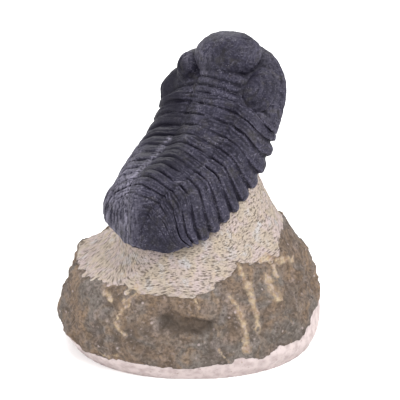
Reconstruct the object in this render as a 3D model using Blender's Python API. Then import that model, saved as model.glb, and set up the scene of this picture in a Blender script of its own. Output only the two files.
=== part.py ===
"""Fossil trilobite on its limestone matrix, at real size, metres, +Z up.

The animal is one piece of dark calcite: head shield, eleven thoracic segments and tail shield.
The stone is one piece of limestone: base, leaning neck and the filling under the front of the animal.
"""

import math

import bmesh
import bpy
from mathutils import Matrix, Vector, noise

MM = 0.001

# Layout of the animal: it rises to the right and away from the front of the base.
HEADING_DEG = 36.0
NECK_POINT = Vector((6.0, 10.0, 75.3)) * MM
SEGMENTS = 11
SEGMENT_PITCH = 3.45 * MM
PITCH_KNOTS = (
    (-5.5, 93.0),
    (-3.8, 85.0),
    (-2.0, 70.0),
    (-0.3, 42.0),
    (1.5, 18.0),
    (4.0, 15.0),
    (6.0, 22.0),
    (8.0, 40.0),
    (9.5, 56.0),
    (11.0, 58.0),
)

# Tail and thorax, by station in segments: tail tip (-5.5), first segment (0), head joint (11).
TAIL_END = -5.5
HALF_WIDTHS = (
    (-5.5, 2.6),
    (-5.1, 6.4),
    (-4.4, 10.4),
    (-2.9, 14.2),
    (-1.4, 15.7),
    (0.0, 16.3),
    (2.0, 17.8),
    (4.0, 19.8),
    (6.5, 20.6),
    (9.0, 20.0),
    (11.0, 19.2),
)
DROPS = (
    (-5.5, 1.6),
    (-4.4, 3.1),
    (-2.9, 5.6),
    (-2.1, 7.2),
    (-1.4, 9.5),
    (-0.7, 11.3),
    (0.0, 13.0),
    (1.0, 15.0),
    (2.5, 16.8),
    (5.0, 15.4),
    (7.0, 14.2),
    (11.0, 13.6),
)
SWEEPS = (
    (-5.5, 1.5),
    (-4.4, 5.2),
    (-2.9, 8.6),
    (-2.1, 9.9),
    (-1.4, 10.1),
    (-0.7, 10.1),
    (0.0, 9.4),
    (2.5, 6.6),
    (5.0, 4.4),
    (11.0, 4.4),
)
AXIS_HALF_WIDTHS = ((-5.5, 1.2), (-4.6, 2.0), (-2.5, 4.0), (0.0, 5.9), (11.0, 7.4))
AXIS_HEIGHTS = ((-5.5, 0.8), (-4.4, 1.6), (-1.5, 2.8), (0.0, 3.2), (11.0, 3.2))
LEFT_SPREAD = ((1.0, 0.93), (6.0, 1.12), (11.0, 1.12))
AXIS_SHARE = 0.33
FURROW_DEPTH = 0.7 * MM
ARCH_STEPS = 24

# Across one segment, from the groove behind it: place in the pitch, ring depth, pleura depth, tip notch.
SEGMENT_PROFILE = (
    (0.00, 0.95, 1.00, 1.00),
    (0.13, 0.20, 0.20, 0.30),
    (0.42, 0.00, 0.00, 0.00),
    (0.66, 0.10, 0.50, 0.10),
    (0.86, 0.45, 0.30, 0.45),
)
TIP_NOTCH = 1.5 * MM
TIP_LIFT = 1.3 * MM

# Across one ring and rib of the tail shield.
TAIL_RINGS = 7
TAIL_PROFILE = (
    (0.00, 0.42, 0.45, 0.0),
    (0.30, 0.05, 0.05, 0.0),
    (0.62, 0.00, 0.05, 0.0),
)

# Head shield.
HEAD_PITCH_DEG = 54.0
HEAD_HALF_WIDTH = 19.4 * MM
HEAD_LENGTH = 19.6 * MM
HEAD_DROP = 12.4 * MM
HEAD_CORNER_SWEEP = 5.0 * MM
CHEEK_SINK = 2.3 * MM

# Hollow under the front of the animal, filled with stone.
SHELL_THICKNESS = 2.8 * MM
FIT_GAP = 0.35 * MM
SOCKET_GAP = 0.4 * MM

# Stone: height, centre x, centre y, half width, half depth.
BASE_RINGS = (
    (0.0, 0.6, 1.0, 37.2, 30.0),
    (2.5, 0.4, 1.0, 38.6, 31.2),
    (6.0, 0.0, 1.0, 40.0, 32.4),
    (10.0, 0.0, 1.0, 40.2, 32.3),
    (15.0, 0.0, 1.0, 39.4, 31.4),
    (20.0, 0.0, 1.2, 38.2, 30.2),
    (25.0, 0.2, 1.6, 36.2, 28.6),
)
MARGIN_CENTRE = Vector((-1.2, -0.4, 46.6)) * MM
MARGIN_REACH = Vector((11.8, 16.2, 12.0)) * MM
MARGIN_HALF_WIDTH = 19.2 * MM
TOP_CENTRE = Vector((-0.4, 0.6, 52.4)) * MM
TOP_REACH = Vector((10.8, 14.8, 10.2)) * MM
TOP_HALF_WIDTH = 14.5 * MM
STONE_SIDES = 44
MERGE = 0.000005
NECK_STEPS = 5


def eased(low, high, value):
    """Smooth step from 0 at low to 1 at high."""
    t = min(max((value - low) / (high - low), 0.0), 1.0)
    return t * t * (3.0 - 2.0 * t)


def through(knots, x):
    """Value at x of a chain of straight pieces through knots."""
    if x <= knots[0][0]:
        return knots[0][1]
    for (x0, y0), (x1, y1) in zip(knots, knots[1:]):
        if x <= x1:
            return y0 + (y1 - y0) * (x - x0) / (x1 - x0)
    return knots[-1][1]


HEADING = math.radians(HEADING_DEG)
FORWARD = Vector((math.sin(HEADING), math.cos(HEADING), 0.0))
SIDE = Vector((math.cos(HEADING), -math.sin(HEADING), 0.0))
UP = Vector((0.0, 0.0, 1.0))


def directions(pitch_deg):
    """Headward and upward unit vectors of a part of the body at one pitch."""
    a = math.radians(pitch_deg)
    return FORWARD * math.cos(a) + UP * math.sin(a), UP * math.cos(a) - FORWARD * math.sin(a)


def pitch_at(station):
    """Pitch of the back, averaged over a short stretch so that it bends smoothly."""
    return sum(through(PITCH_KNOTS, station + 0.1 * i) for i in range(-4, 5)) / 9.0


def crest_line():
    """Crest points by tenth of a segment, tail tip to head joint."""
    step = SEGMENT_PITCH / 10.0
    points = [Vector((0.0, 0.0, 0.0))]
    for i in range(round((SEGMENTS - TAIL_END) * 10.0)):
        points.append(points[-1] + directions(pitch_at(TAIL_END + (i + 0.5) / 10.0))[0] * step)
    shift = NECK_POINT - points[-1]
    return [p + shift for p in points]


CREST = crest_line()


def station_frame(station):
    """Crest point, headward and upward directions at a station counted in segments."""
    ahead, above = directions(pitch_at(station))
    inside = min(max(station, TAIL_END), float(SEGMENTS))
    tenths = (inside - TAIL_END) * 10.0
    low = min(int(tenths), len(CREST) - 2)
    point = CREST[low].lerp(CREST[low + 1], tenths - low)
    return point + ahead * (station - inside) * SEGMENT_PITCH, ahead, above


def arch(station, share, grow):
    """Side and height of the body's cross-section; share runs from -1 to 1 over the back."""
    half = through(HALF_WIDTHS, station) * MM
    drop = through(DROPS, station) * MM
    axis = through(AXIS_HALF_WIDTHS, station) * MM
    height = through(AXIS_HEIGHTS, station) * MM
    if share < 0.0:
        half *= through(LEFT_SPREAD, station)
    q = abs(share)
    if q <= AXIS_SHARE:
        a = q / AXIS_SHARE * math.pi / 2
        x = axis * math.sin(a)
        z = -height * (1.0 - math.cos(a))
    else:
        p = (q - AXIS_SHARE) / (1.0 - AXIS_SHARE)
        flat = (half - axis) * 0.30 * min(p / 0.30, 1.0)
        bend = math.radians(85.0) * max(p - 0.16, 0.0) / 0.84
        x = axis + flat + (half - axis) * 0.70 * math.sin(bend) / math.sin(math.radians(85.0))
        z = -height - (drop - height) * (1.0 - math.cos(bend)) / (1.0 - math.cos(math.radians(85.0)))
    side = eased(0.45, 1.0, q)
    x += grow * side
    z += grow * (1.0 - side)
    back = through(SWEEPS, station) * MM * eased(0.42, 1.0, q)
    return math.copysign(x, share), z, back


def body_point(station, share, depth, grow=0.0):
    """Point on the back of the thorax, sunk by depth."""
    point, ahead, above = station_frame(station)
    x, z, back = arch(station, share, grow)
    q = abs(share)
    lean = eased(0.55, 1.0, q)
    inward = above * (1.0 - 0.8 * lean) + SIDE * math.copysign(0.9 * lean, share)
    return point + SIDE * x + above * z - ahead * back - inward * depth


def new_object(name, bm, collection):
    """One named solid in the collection, with its faces turned outward."""
    bmesh.ops.recalc_face_normals(bm, faces=bm.faces)
    mesh = bpy.data.meshes.new(name)
    bm.to_mesh(mesh)
    bm.free()
    obj = bpy.data.objects.new(name, mesh)
    collection.objects.link(obj)
    return obj


def swept(name, sections, collection):
    """Closed solid from one ring of points extruded through further rings."""
    bm = bmesh.new()
    made = bmesh.ops.create_circle(bm, cap_ends=True, segments=len(sections[0]), radius=1.0)
    ring = list(made["verts"])
    cap = bm.faces[:]
    for vert, point in zip(ring, sections[0]):
        vert.co = point
    for number, section in enumerate(sections[1:]):
        out = bmesh.ops.extrude_face_region(bm, geom=cap, use_keep_orig=True)
        if number > 0:
            bmesh.ops.delete(bm, geom=cap, context="FACES_ONLY")
        cap = [g for g in out["geom"] if isinstance(g, bmesh.types.BMFace)]
        follow = {}
        for vert in (g for g in out["geom"] if isinstance(g, bmesh.types.BMVert)):
            near = min(range(len(ring)), key=lambda i: (ring[i].co - vert.co).length_squared)
            follow[near] = vert
        ring = [follow[i] for i in range(len(ring))]
        for vert, point in zip(ring, section):
            vert.co = point
    return new_object(name, bm, collection)


def domed(name, columns, rows, place, corner, collection):
    """Closed solid from a half disc placed by a formula, closed underneath to one corner point."""
    bm = bmesh.new()
    bmesh.ops.create_grid(bm, x_segments=columns, y_segments=rows, size=1.0)
    for vert in bm.verts:
        u = vert.co.x
        v = (vert.co.y + 1.0) / 2.0
        vert.co = Vector((u * math.sqrt(1.0 - v * v / 2.0), v * math.sqrt(1.0 - u * u / 2.0), 0.0))
    for vert in bm.verts:
        vert.co = place(vert.co.x, vert.co.y)
    rim = [e for e in bm.edges if e.is_boundary]
    out = bmesh.ops.extrude_edge_only(bm, edges=rim)
    skirt = [g for g in out["geom"] if isinstance(g, bmesh.types.BMVert)]
    bmesh.ops.pointmerge(bm, verts=skirt, merge_co=corner)
    return new_object(name, bm, collection)


def bulb(name, centre, radii, turn, bend, segments, rings, collection):
    """Ellipsoid in a local frame, bent sideways along its length."""
    bm = bmesh.new()
    bmesh.ops.create_uvsphere(bm, u_segments=segments, v_segments=rings, radius=1.0)
    for vert in bm.verts:
        local = Vector((vert.co.x * radii[0], vert.co.y * radii[1], vert.co.z * radii[2]))
        local.x -= bend * (vert.co.y ** 2)
        vert.co = turn @ (centre + local)
    return new_object(name, bm, collection)


def frame_matrix(origin, pitch_deg):
    """Local frame: x to the animal's right, y headward, z up out of the back."""
    ahead, above = directions(pitch_deg)
    turn = Matrix((SIDE, ahead, above)).transposed()
    return Matrix.Translation(origin) @ turn.to_4x4()


def apply_boolean(target, other, operation):
    """Union or difference of two closed solids; the second one is used up."""
    bpy.context.view_layer.update()
    modifier = target.modifiers.new("cut", "BOOLEAN")
    modifier.operation = operation
    modifier.solver = "EXACT"
    modifier.object = other
    graph = bpy.context.evaluated_depsgraph_get()
    mesh = bpy.data.meshes.new_from_object(target.evaluated_get(graph))
    target.modifiers.clear()
    bm = bmesh.new()
    bm.from_mesh(mesh)
    bmesh.ops.remove_doubles(bm, verts=bm.verts, dist=MERGE)
    bmesh.ops.dissolve_degenerate(bm, edges=bm.edges, dist=MERGE)
    bmesh.ops.triangulate(bm, faces=[f for f in bm.faces if len(f.verts) > 4])
    bm.to_mesh(mesh)
    bm.free()
    old = target.data
    target.data = mesh
    bpy.data.meshes.remove(old)
    bpy.data.objects.remove(other, do_unlink=True)


def thorax_section(station, ring_depth, pleura_depth, notch):
    """Ring of points over the back at one station, from the left tip to the right tip."""
    points = []
    above = station_frame(station)[2]
    for i in range(ARCH_STEPS + 1):
        share = -1.0 + 2.0 * i / ARCH_STEPS
        q = abs(share)
        side = eased(AXIS_SHARE - 0.04, AXIS_SHARE + 0.06, q)
        depth = (ring_depth * (1.0 - side) + pleura_depth * side) * MM
        depth += FURROW_DEPTH * max(0.0, 1.0 - abs(q - AXIS_SHARE) / 0.07)
        tip = notch * eased(0.78, 1.0, q)
        depth += TIP_NOTCH * tip
        points.append(body_point(station, share, depth) + above * TIP_LIFT * tip)
    return points


def body_solid(collection):
    """Tail shield and eleven segments in one sweep: axial rings, pleurae with scalloped tips, ribs."""
    sections = [thorax_section(TAIL_END, 0.2, 0.2, 0.0)]
    for index in range(TAIL_RINGS):
        for place, ring_depth, pleura_depth, notch in TAIL_PROFILE:
            station = -4.9 * (1.0 - (index + place) / TAIL_RINGS) - 0.12
            sections.append(thorax_section(station, ring_depth, pleura_depth, notch))
    for index in range(SEGMENTS):
        for place, ring_depth, pleura_depth, notch in SEGMENT_PROFILE:
            sections.append(thorax_section(index + place, ring_depth, pleura_depth, notch))
    sections.append(thorax_section(float(SEGMENTS), 0.95, 1.00, 1.00))
    head_end = shrunk(sections[-1], 0.72, 2.0 * MM)
    return swept("body", [*sections, head_end], collection)


def shrunk(section, factor, shift):
    """Section drawn in to its middle and moved along the body."""
    middle = sum(section, Vector()) / len(section)
    ahead = (section[-1] - middle).cross(section[0] - middle).normalized()
    if ahead.dot(FORWARD) < 0.0:
        ahead = -ahead
    return [middle + (p - middle) * factor + ahead * shift for p in section]


def head_place(x, y):
    """Point of the cheeks and brow over a unit half-disc."""
    rho = min(math.hypot(x, y), 1.0)
    around = math.atan2(y, x)
    tilt = rho * math.pi / 2
    px = HEAD_HALF_WIDTH * math.sin(tilt) * math.cos(around)
    py = HEAD_LENGTH * math.sin(tilt) * math.sin(around)
    pz = -HEAD_DROP * (1.0 - math.cos(tilt))
    border = 0.45 * MM * math.exp(-(((rho - 0.86) / 0.05) ** 2))
    pz -= border + CHEEK_SINK * eased(1.0, 0.55, rho)
    back = HEAD_CORNER_SWEEP * (abs(px) / HEAD_HALF_WIDTH) ** 2.5 * eased(9.0 * MM, 0.0, py)
    if px < 0.0:
        px *= 1.0 + 0.10 * eased(12.0 * MM, 0.0, py)
    return HEAD_FRAME @ Vector((px, py - back, pz))


def build_trilobite(collection):
    """The whole animal as one closed solid, hollow under the front."""
    corner = HEAD_FRAME @ Vector((0.0, 0.0, -HEAD_DROP))
    head = domed("cheeks", 26, 15, head_place, corner, collection)
    lumps = (
        ("glabella", (-0.3, 12.2, -3.7), (11.0, 8.6, 5.9), 0.0, 24, 14),
        ("preoccipital ring", (0.0, 4.1, -3.4), (6.9, 1.5, 3.4), 0.0, 18, 8),
        ("occipital ring", (0.0, 1.3, -3.6), (7.6, 1.7, 3.9), 0.0, 18, 8),
        ("right eye lobe", (11.8, 7.4, -4.4), (2.9, 4.2, 4.9), 0.0, 14, 8),
        ("left eye lobe", (-11.8, 7.4, -4.4), (2.9, 4.2, 4.9), 0.0, 14, 8),
        ("right eye lens band", (15.2, 7.6, -5.2), (1.5, 5.0, 4.6), 2.6, 14, 8),
        ("left eye lens band", (-15.2, 7.6, -5.2), (1.5, 5.0, 4.6), -2.6, 14, 8),
    )
    for name, centre, radii, bend, around, rings in lumps:
        at = Vector(centre) * MM
        size = [r * MM for r in radii]
        apply_boolean(head, bulb(name, at, size, HEAD_FRAME, bend * MM, around, rings, collection), "UNION")
    body = body_solid(collection)
    apply_boolean(body, head, "UNION")
    apply_boolean(body, core_solid("hollow", 0.0, collection), "DIFFERENCE")
    body.name = "trilobite"
    return body


def core_solid(name, shrink, collection):
    """Smooth inside form of the front half: the hollow, or with shrink its stone filling."""
    sections = []
    for station in (3.6, 5.0, 6.4, 7.8, 9.2, 10.4, 11.6, 13.0, 14.2, 15.0):
        point, ahead, above = station_frame(min(station, 11.0))
        over = max(station - 11.0, 0.0)
        ahead, above = (ahead, above) if over == 0.0 else directions(HEAD_PITCH_DEG)
        point = point + ahead * over * SEGMENT_PITCH
        closing = 1.0 - 0.62 * (over / 4.0) ** 2.2
        half = (through(HALF_WIDTHS, station) * MM - SHELL_THICKNESS) * 0.94 * closing
        roof = -3.2 * MM - SHELL_THICKNESS - 1.6 * MM * (over / 4.0) ** 2 - shrink
        base = -through(DROPS, station) * MM * (1.0 - 0.06 * min(over, 1.0))
        low = base - 2.6 * MM
        if shrink > 0.0:
            half -= shrink + 0.3 * MM
            low = base + 1.2 * MM - 3.4 * MM * eased(9.0, 6.5, station)
        outline = [(-half, low - 0.4 * MM)]
        for i in range(13):
            a = math.pi * i / 12.0
            z = base + (roof - base) * max(math.sin(a), 0.0) ** 0.7
            outline.append((-half * math.cos(a), max(z, low)))
        outline.append((half, low - 0.4 * MM))
        points = []
        sweep = through(SWEEPS, station) * MM * (1.0 if over == 0.0 else 0.5)
        for x, z in outline:
            back = sweep * eased(0.35, 1.0, abs(x) / half)
            points.append(point + SIDE * x + above * z - ahead * back)
        sections.append(points)
    if shrink > 0.0:
        sections[0] = [p.lerp(q, 0.2) for p, q in zip(sections[0], sections[1])]
        sections[-1] = [p.lerp(q, 0.5) for p, q in zip(sections[-1], sections[-2])]
    return swept(name, sections, collection)


def socket_solid(collection):
    """Smooth outside form of tail and thorax, a little larger, to clear the stone around it."""
    sections = []
    stations = [TAIL_END - 0.2, TAIL_END, -5.1, -4.75, -4.4, -3.9, -3.4, -2.9, -2.4, -1.9, -1.4, -0.9, -0.45]
    stations += [half_step / 2.0 for half_step in range(2 * SEGMENTS + 1)]
    for station in stations:
        points = [body_point(station, -1.0 + i / 12.0, 0.0, SOCKET_GAP) for i in range(25)]
        above = station_frame(station)[2]
        first = points[0] - above * SOCKET_GAP
        last = points[-1] - above * SOCKET_GAP
        sections.append([first, *points[1:-1], last])
    return swept("socket", sections, collection)


def rock(point, size, depth):
    """Irregular broken-stone offset."""
    at = point / size
    return depth * (noise.noise(at) + 0.5 * noise.noise(at * 2.3 + Vector((4.0, 1.0, 7.0))))


def oval(angle, half_x, half_y, power):
    """Superellipse point."""
    c = math.cos(angle)
    s = math.sin(angle)
    return (
        math.copysign(abs(c) ** (2.0 / power), c) * half_x,
        math.copysign(abs(s) ** (2.0 / power), s) * half_y,
    )


def build_matrix(collection):
    """The stone: base rings, neck blended up to the margin of the animal, filling."""
    sections = []
    angles = [2.0 * math.pi * i / STONE_SIDES for i in range(STONE_SIDES)]
    for height, cx, cy, half_x, half_y in BASE_RINGS:
        ring = []
        for angle in angles:
            x, y = oval(angle, half_x, half_y, 2.15)
            point = Vector((cx + x, cy + y, height)) * MM
            rough = 1.6 * MM * eased(4.0, 12.0, height)
            out = Vector((math.cos(angle), math.sin(angle), 0.0))
            ring.append(point + out * rock(point, 14.0 * MM, rough))
        sections.append(ring)
    shoulder = sections[-1]
    for step in range(1, NECK_STEPS + 1):
        t = step / NECK_STEPS
        ring = []
        for angle, low in zip(angles, shoulder):
            across, along = oval(angle + HEADING, MARGIN_HALF_WIDTH, 1.0, 2.5)
            high = MARGIN_CENTRE + SIDE * across + MARGIN_REACH * along
            point = low.lerp(high, t)
            out = Vector((math.cos(angle), math.sin(angle), 0.0))
            waist = 4.2 + 3.0 * math.sin(angle - 0.5)
            point -= out * waist * MM * 4.0 * t * (1.0 - t)
            point += out * rock(point, 12.0 * MM, 0.9 * MM * (1.0 - t))
            ring.append(point)
        sections.append(ring)
    top = []
    for angle in angles:
        across, along = oval(angle + HEADING, TOP_HALF_WIDTH, 1.0, 2.3)
        top.append(TOP_CENTRE + SIDE * across + TOP_REACH * along)
    sections.append(top)
    stone = swept("matrix", sections, collection)
    apply_boolean(stone, socket_solid(collection), "DIFFERENCE")
    apply_boolean(stone, core_solid("filling", FIT_GAP, collection), "UNION")
    return stone


HEAD_FRAME = frame_matrix(station_frame(float(SEGMENTS))[0], HEAD_PITCH_DEG)


def stone_material(name, colour, roughness):
    """Plain surface in the stone's mean colour."""
    material = bpy.data.materials.new(name)
    material.use_nodes = True
    shader = material.node_tree.nodes["Principled BSDF"]
    shader.inputs["Base Color"].default_value = (*colour, 1.0)
    shader.inputs["Roughness"].default_value = roughness
    shader.inputs["Metallic"].default_value = 0.0
    return material


def main():
    """Both solids, with their origin at the middle of the base."""
    for obj in list(bpy.data.objects):
        bpy.data.objects.remove(obj, do_unlink=True)
    parts = bpy.data.collections.new("fossil trilobite")
    bpy.context.scene.collection.children.link(parts)
    trilobite = build_trilobite(parts)
    stone = build_matrix(parts)
    trilobite.data.materials.clear()
    trilobite.data.materials.append(stone_material("dark fossil calcite", (0.036, 0.037, 0.047), 0.45))
    stone.data.materials.clear()
    stone.data.materials.append(stone_material("pale limestone", (0.42, 0.34, 0.25), 0.9))
    points = [v.co for obj in (trilobite, stone) for v in obj.data.vertices]
    middle = Vector((
        (min(p.x for p in points) + max(p.x for p in points)) / 2.0,
        (min(p.y for p in points) + max(p.y for p in points)) / 2.0,
        min(p.z for p in points),
    ))
    for obj in (trilobite, stone):
        obj.data.transform(Matrix.Translation(-middle))


main()
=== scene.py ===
"""Fossil trilobite on its limestone matrix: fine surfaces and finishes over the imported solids.

The animal is a dark calcite shell: tail shield, eleven segments, head shield and two eyes.
The stone is one block of limestone with a weathered brown skin, a pale tool-marked zone round
the animal and a ground rim.
"""

import logging
import math
from collections.abc import Callable
from dataclasses import dataclass, field
from enum import Enum

import bmesh
import bpy
from mathutils import Matrix, Vector, noise

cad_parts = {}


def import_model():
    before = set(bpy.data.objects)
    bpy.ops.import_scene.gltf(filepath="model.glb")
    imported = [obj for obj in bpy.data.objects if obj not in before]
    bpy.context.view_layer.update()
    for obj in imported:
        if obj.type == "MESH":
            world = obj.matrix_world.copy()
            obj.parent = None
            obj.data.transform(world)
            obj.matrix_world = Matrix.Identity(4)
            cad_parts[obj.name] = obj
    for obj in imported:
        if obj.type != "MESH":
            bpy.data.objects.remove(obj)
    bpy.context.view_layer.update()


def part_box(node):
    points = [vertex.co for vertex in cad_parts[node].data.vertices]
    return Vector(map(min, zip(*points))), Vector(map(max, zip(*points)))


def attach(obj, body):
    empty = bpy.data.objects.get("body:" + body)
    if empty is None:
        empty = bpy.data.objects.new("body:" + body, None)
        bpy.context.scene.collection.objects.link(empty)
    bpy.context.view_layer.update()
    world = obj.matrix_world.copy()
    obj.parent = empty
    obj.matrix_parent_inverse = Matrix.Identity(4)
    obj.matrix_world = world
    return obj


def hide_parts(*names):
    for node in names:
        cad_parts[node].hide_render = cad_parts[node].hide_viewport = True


MM = 0.001
ORIGIN_SHIFT = Vector((0.4817, -1.1711, 0.0)) * MM
STONE_MIDDLE = Vector((0.0, 1.0, 15.0))
LOG = logging.getLogger("fossil trilobite")
Triple = tuple[float, float, float]
Material = bpy.types.Material
Mesh = bmesh.types.BMesh
Piece = bpy.types.Object
Socket = bpy.types.NodeSocket


class Side(Enum):
    """Side of the animal; the value is the sign of its sideways axis."""

    LEFT = -1.0
    RIGHT = 1.0


class Zone(Enum):
    """Surface zones of the stone, named as the attributes that carry them."""

    PREPARED = "prepared"
    RIM = "rim"
    VEIN = "vein"
    STAIN = "stain"


class Pattern(Enum):
    """Kind of pattern in a layer of a finish."""

    BLOTCHES = "blotches"
    SPECKS = "specks"


def eased(low: float, high: float, value: float) -> float:
    """Smooth step.

    Args:
        low: value at which the step is 0.
        high: value at which the step is 1.
        value: where to read it.

    Returns:
        A number from 0 to 1.
    """
    t = min(max((value - low) / (high - low), 0.0), 1.0)
    return t * t * (3.0 - 2.0 * t)


def hump(value: float, centre: float, width: float) -> float:
    """Bell curve.

    Args:
        value: where to read it.
        centre: place of its top.
        width: distance at which it has fallen to about a third.

    Returns:
        A number from 0 to 1.
    """
    return math.exp(-(((value - centre) / width) ** 2))


def rough(at: Vector, layers: tuple[tuple[float, float], ...]) -> float:
    """Sum of random reliefs.

    Args:
        at: place in millimetres.
        layers: depth and size of each relief in millimetres.

    Returns:
        The offset in millimetres.
    """
    return sum(depth * noise.noise(at / size) for depth, size in layers)


@dataclass(frozen=True)
class Curve:
    """Chain through given knots.

    Attributes:
        knots: pairs of place and value, in rising order of place.
    """

    knots: tuple[tuple[float, float], ...]

    def straight(self, x: float) -> float:
        """Value on straight pieces between the knots.

        Args:
            x: place to read.

        Returns:
            The value there.
        """
        if x <= self.knots[0][0]:
            return self.knots[0][1]
        for (x0, y0), (x1, y1) in zip(self.knots, self.knots[1:]):
            if x <= x1:
                return y0 + (y1 - y0) * (x - x0) / (x1 - x0)
        return self.knots[-1][1]

    def _slope(self, index: int) -> float:
        """Slope at one knot that never lets the curve overshoot.

        Args:
            index: number of the knot.

        Returns:
            The slope.
        """
        if index in (0, len(self.knots) - 1):
            return 0.0
        (x0, y0), (x1, y1), (x2, y2) = self.knots[index - 1 : index + 2]
        before = (y1 - y0) / (x1 - x0)
        after = (y2 - y1) / (x2 - x1)
        if before * after <= 0.0:
            return 0.0
        return 2.0 * before * after / (before + after)

    def at(self, x: float) -> float:
        """Value on a smooth curve through the knots.

        Args:
            x: place to read.

        Returns:
            The value there.
        """
        knots = self.knots
        if x <= knots[0][0]:
            return knots[0][1]
        if x >= knots[-1][0]:
            return knots[-1][1]
        low = next(i for i in range(len(knots) - 1) if x <= knots[i + 1][0])
        (x0, y0), (x1, y1) = knots[low], knots[low + 1]
        span = x1 - x0
        t = (x - x0) / span
        rest = 1.0 - t
        start = (1.0 + 2.0 * t) * rest**2 * y0
        leaving = t * rest**2 * span * self._slope(low)
        end = t * t * (3.0 - 2.0 * t) * y1
        arriving = t * t * (t - 1.0) * span * self._slope(low + 1)
        return start + leaving + end + arriving


@dataclass
class Backbone:
    """Line of the back from the tail tip to the head joint, and the directions along it."""

    heading_deg: float = 36.0
    head_pitch_deg: float = 54.0
    neck_point_mm: Triple = (6.0, 10.0, 75.3)
    segments: int = 11
    segment_pitch: float = 3.45 * MM
    tail_end: float = -5.5
    pitch: Curve = Curve(
        (
            (-5.5, 93.0), (-3.8, 85.0), (-2.0, 70.0), (-0.3, 42.0), (1.5, 18.0), (4.0, 15.0),
            (6.0, 22.0), (8.0, 40.0), (9.5, 56.0), (11.0, 58.0),
        )
    )
    forward: Vector = field(init=False)
    side: Vector = field(init=False)
    up: Vector = field(init=False)
    crest: list[Vector] = field(init=False)

    def __post_init__(self) -> None:
        """Works out the fixed directions and the crest, a point for each tenth of a segment."""
        heading = math.radians(self.heading_deg)
        self.forward = Vector((math.sin(heading), math.cos(heading), 0.0))
        self.side = Vector((math.cos(heading), -math.sin(heading), 0.0))
        self.up = Vector((0.0, 0.0, 1.0))
        points = [Vector((0.0, 0.0, 0.0))]
        for i in range(round((self.segments - self.tail_end) * 10.0)):
            ahead = self.directions(self.pitch_at(self.tail_end + (i + 0.5) / 10.0))[0]
            points.append(points[-1] + ahead * self.segment_pitch / 10.0)
        shift = Vector(self.neck_point_mm) * MM - points[-1]
        self.crest = [p + shift for p in points]

    def directions(self, pitch_deg: float) -> tuple[Vector, Vector]:
        """Headward and upward unit vectors at one pitch.

        Args:
            pitch_deg: slope of the back.

        Returns:
            The two vectors.
        """
        a = math.radians(pitch_deg)
        ahead = self.forward * math.cos(a) + self.up * math.sin(a)
        return ahead, self.up * math.cos(a) - self.forward * math.sin(a)

    def pitch_at(self, station: float) -> float:
        """Slope of the back at a station, averaged over a short stretch."""
        return sum(self.pitch.straight(station + 0.1 * i) for i in range(-4, 5)) / 9.0

    def frame_at(self, station: float) -> tuple[Vector, Vector, Vector]:
        """Crest point and directions at a station.

        Args:
            station: place counted in segments from the front of the tail shield.

        Returns:
            Crest point, headward direction and upward direction.
        """
        ahead, above = self.directions(self.pitch_at(station))
        inside = min(max(station, self.tail_end), float(self.segments))
        tenths = (inside - self.tail_end) * 10.0
        low = min(int(tenths), len(self.crest) - 2)
        point = self.crest[low].lerp(self.crest[low + 1], tenths - low)
        return point + ahead * (station - inside) * self.segment_pitch, ahead, above

    def head_matrix(self) -> Matrix:
        """Local frame at the head joint: x to the right, y headward, z out of the back.

        Returns:
            The matrix from that frame to the layout frame.
        """
        ahead, above = self.directions(self.head_pitch_deg)
        turn = Matrix((self.side, ahead, above)).transposed()
        return Matrix.Translation(self.frame_at(float(self.segments))[0]) @ turn.to_4x4()


@dataclass(frozen=True)
class Slice:
    """Sizes of the body at one station, in metres."""

    station: float
    point: Vector
    ahead: Vector
    above: Vector
    half_left: float
    half_right: float
    drop: float
    lift_left: float
    trim_right: float
    shift: float
    axis: float
    height: float
    sweep: float


@dataclass(frozen=True)
class Layer:
    """Pattern in one colour, laid over the colours below it.

    Attributes:
        tint: colour of the layer.
        size_mm: size of its blotches, or mean distance between its specks.
        band: values of the pattern at which the layer is absent and full.
        strength: share of the tint where the layer is full.
        detail: number of finer patterns in the blotches.
        warp: distortion of the blotches.
        pattern: kind of pattern.
    """

    tint: Triple
    size_mm: float
    band: tuple[float, float]
    strength: float = 1.0
    detail: float = 3.0
    warp: float = 0.0
    pattern: Pattern = Pattern.BLOTCHES


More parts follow.
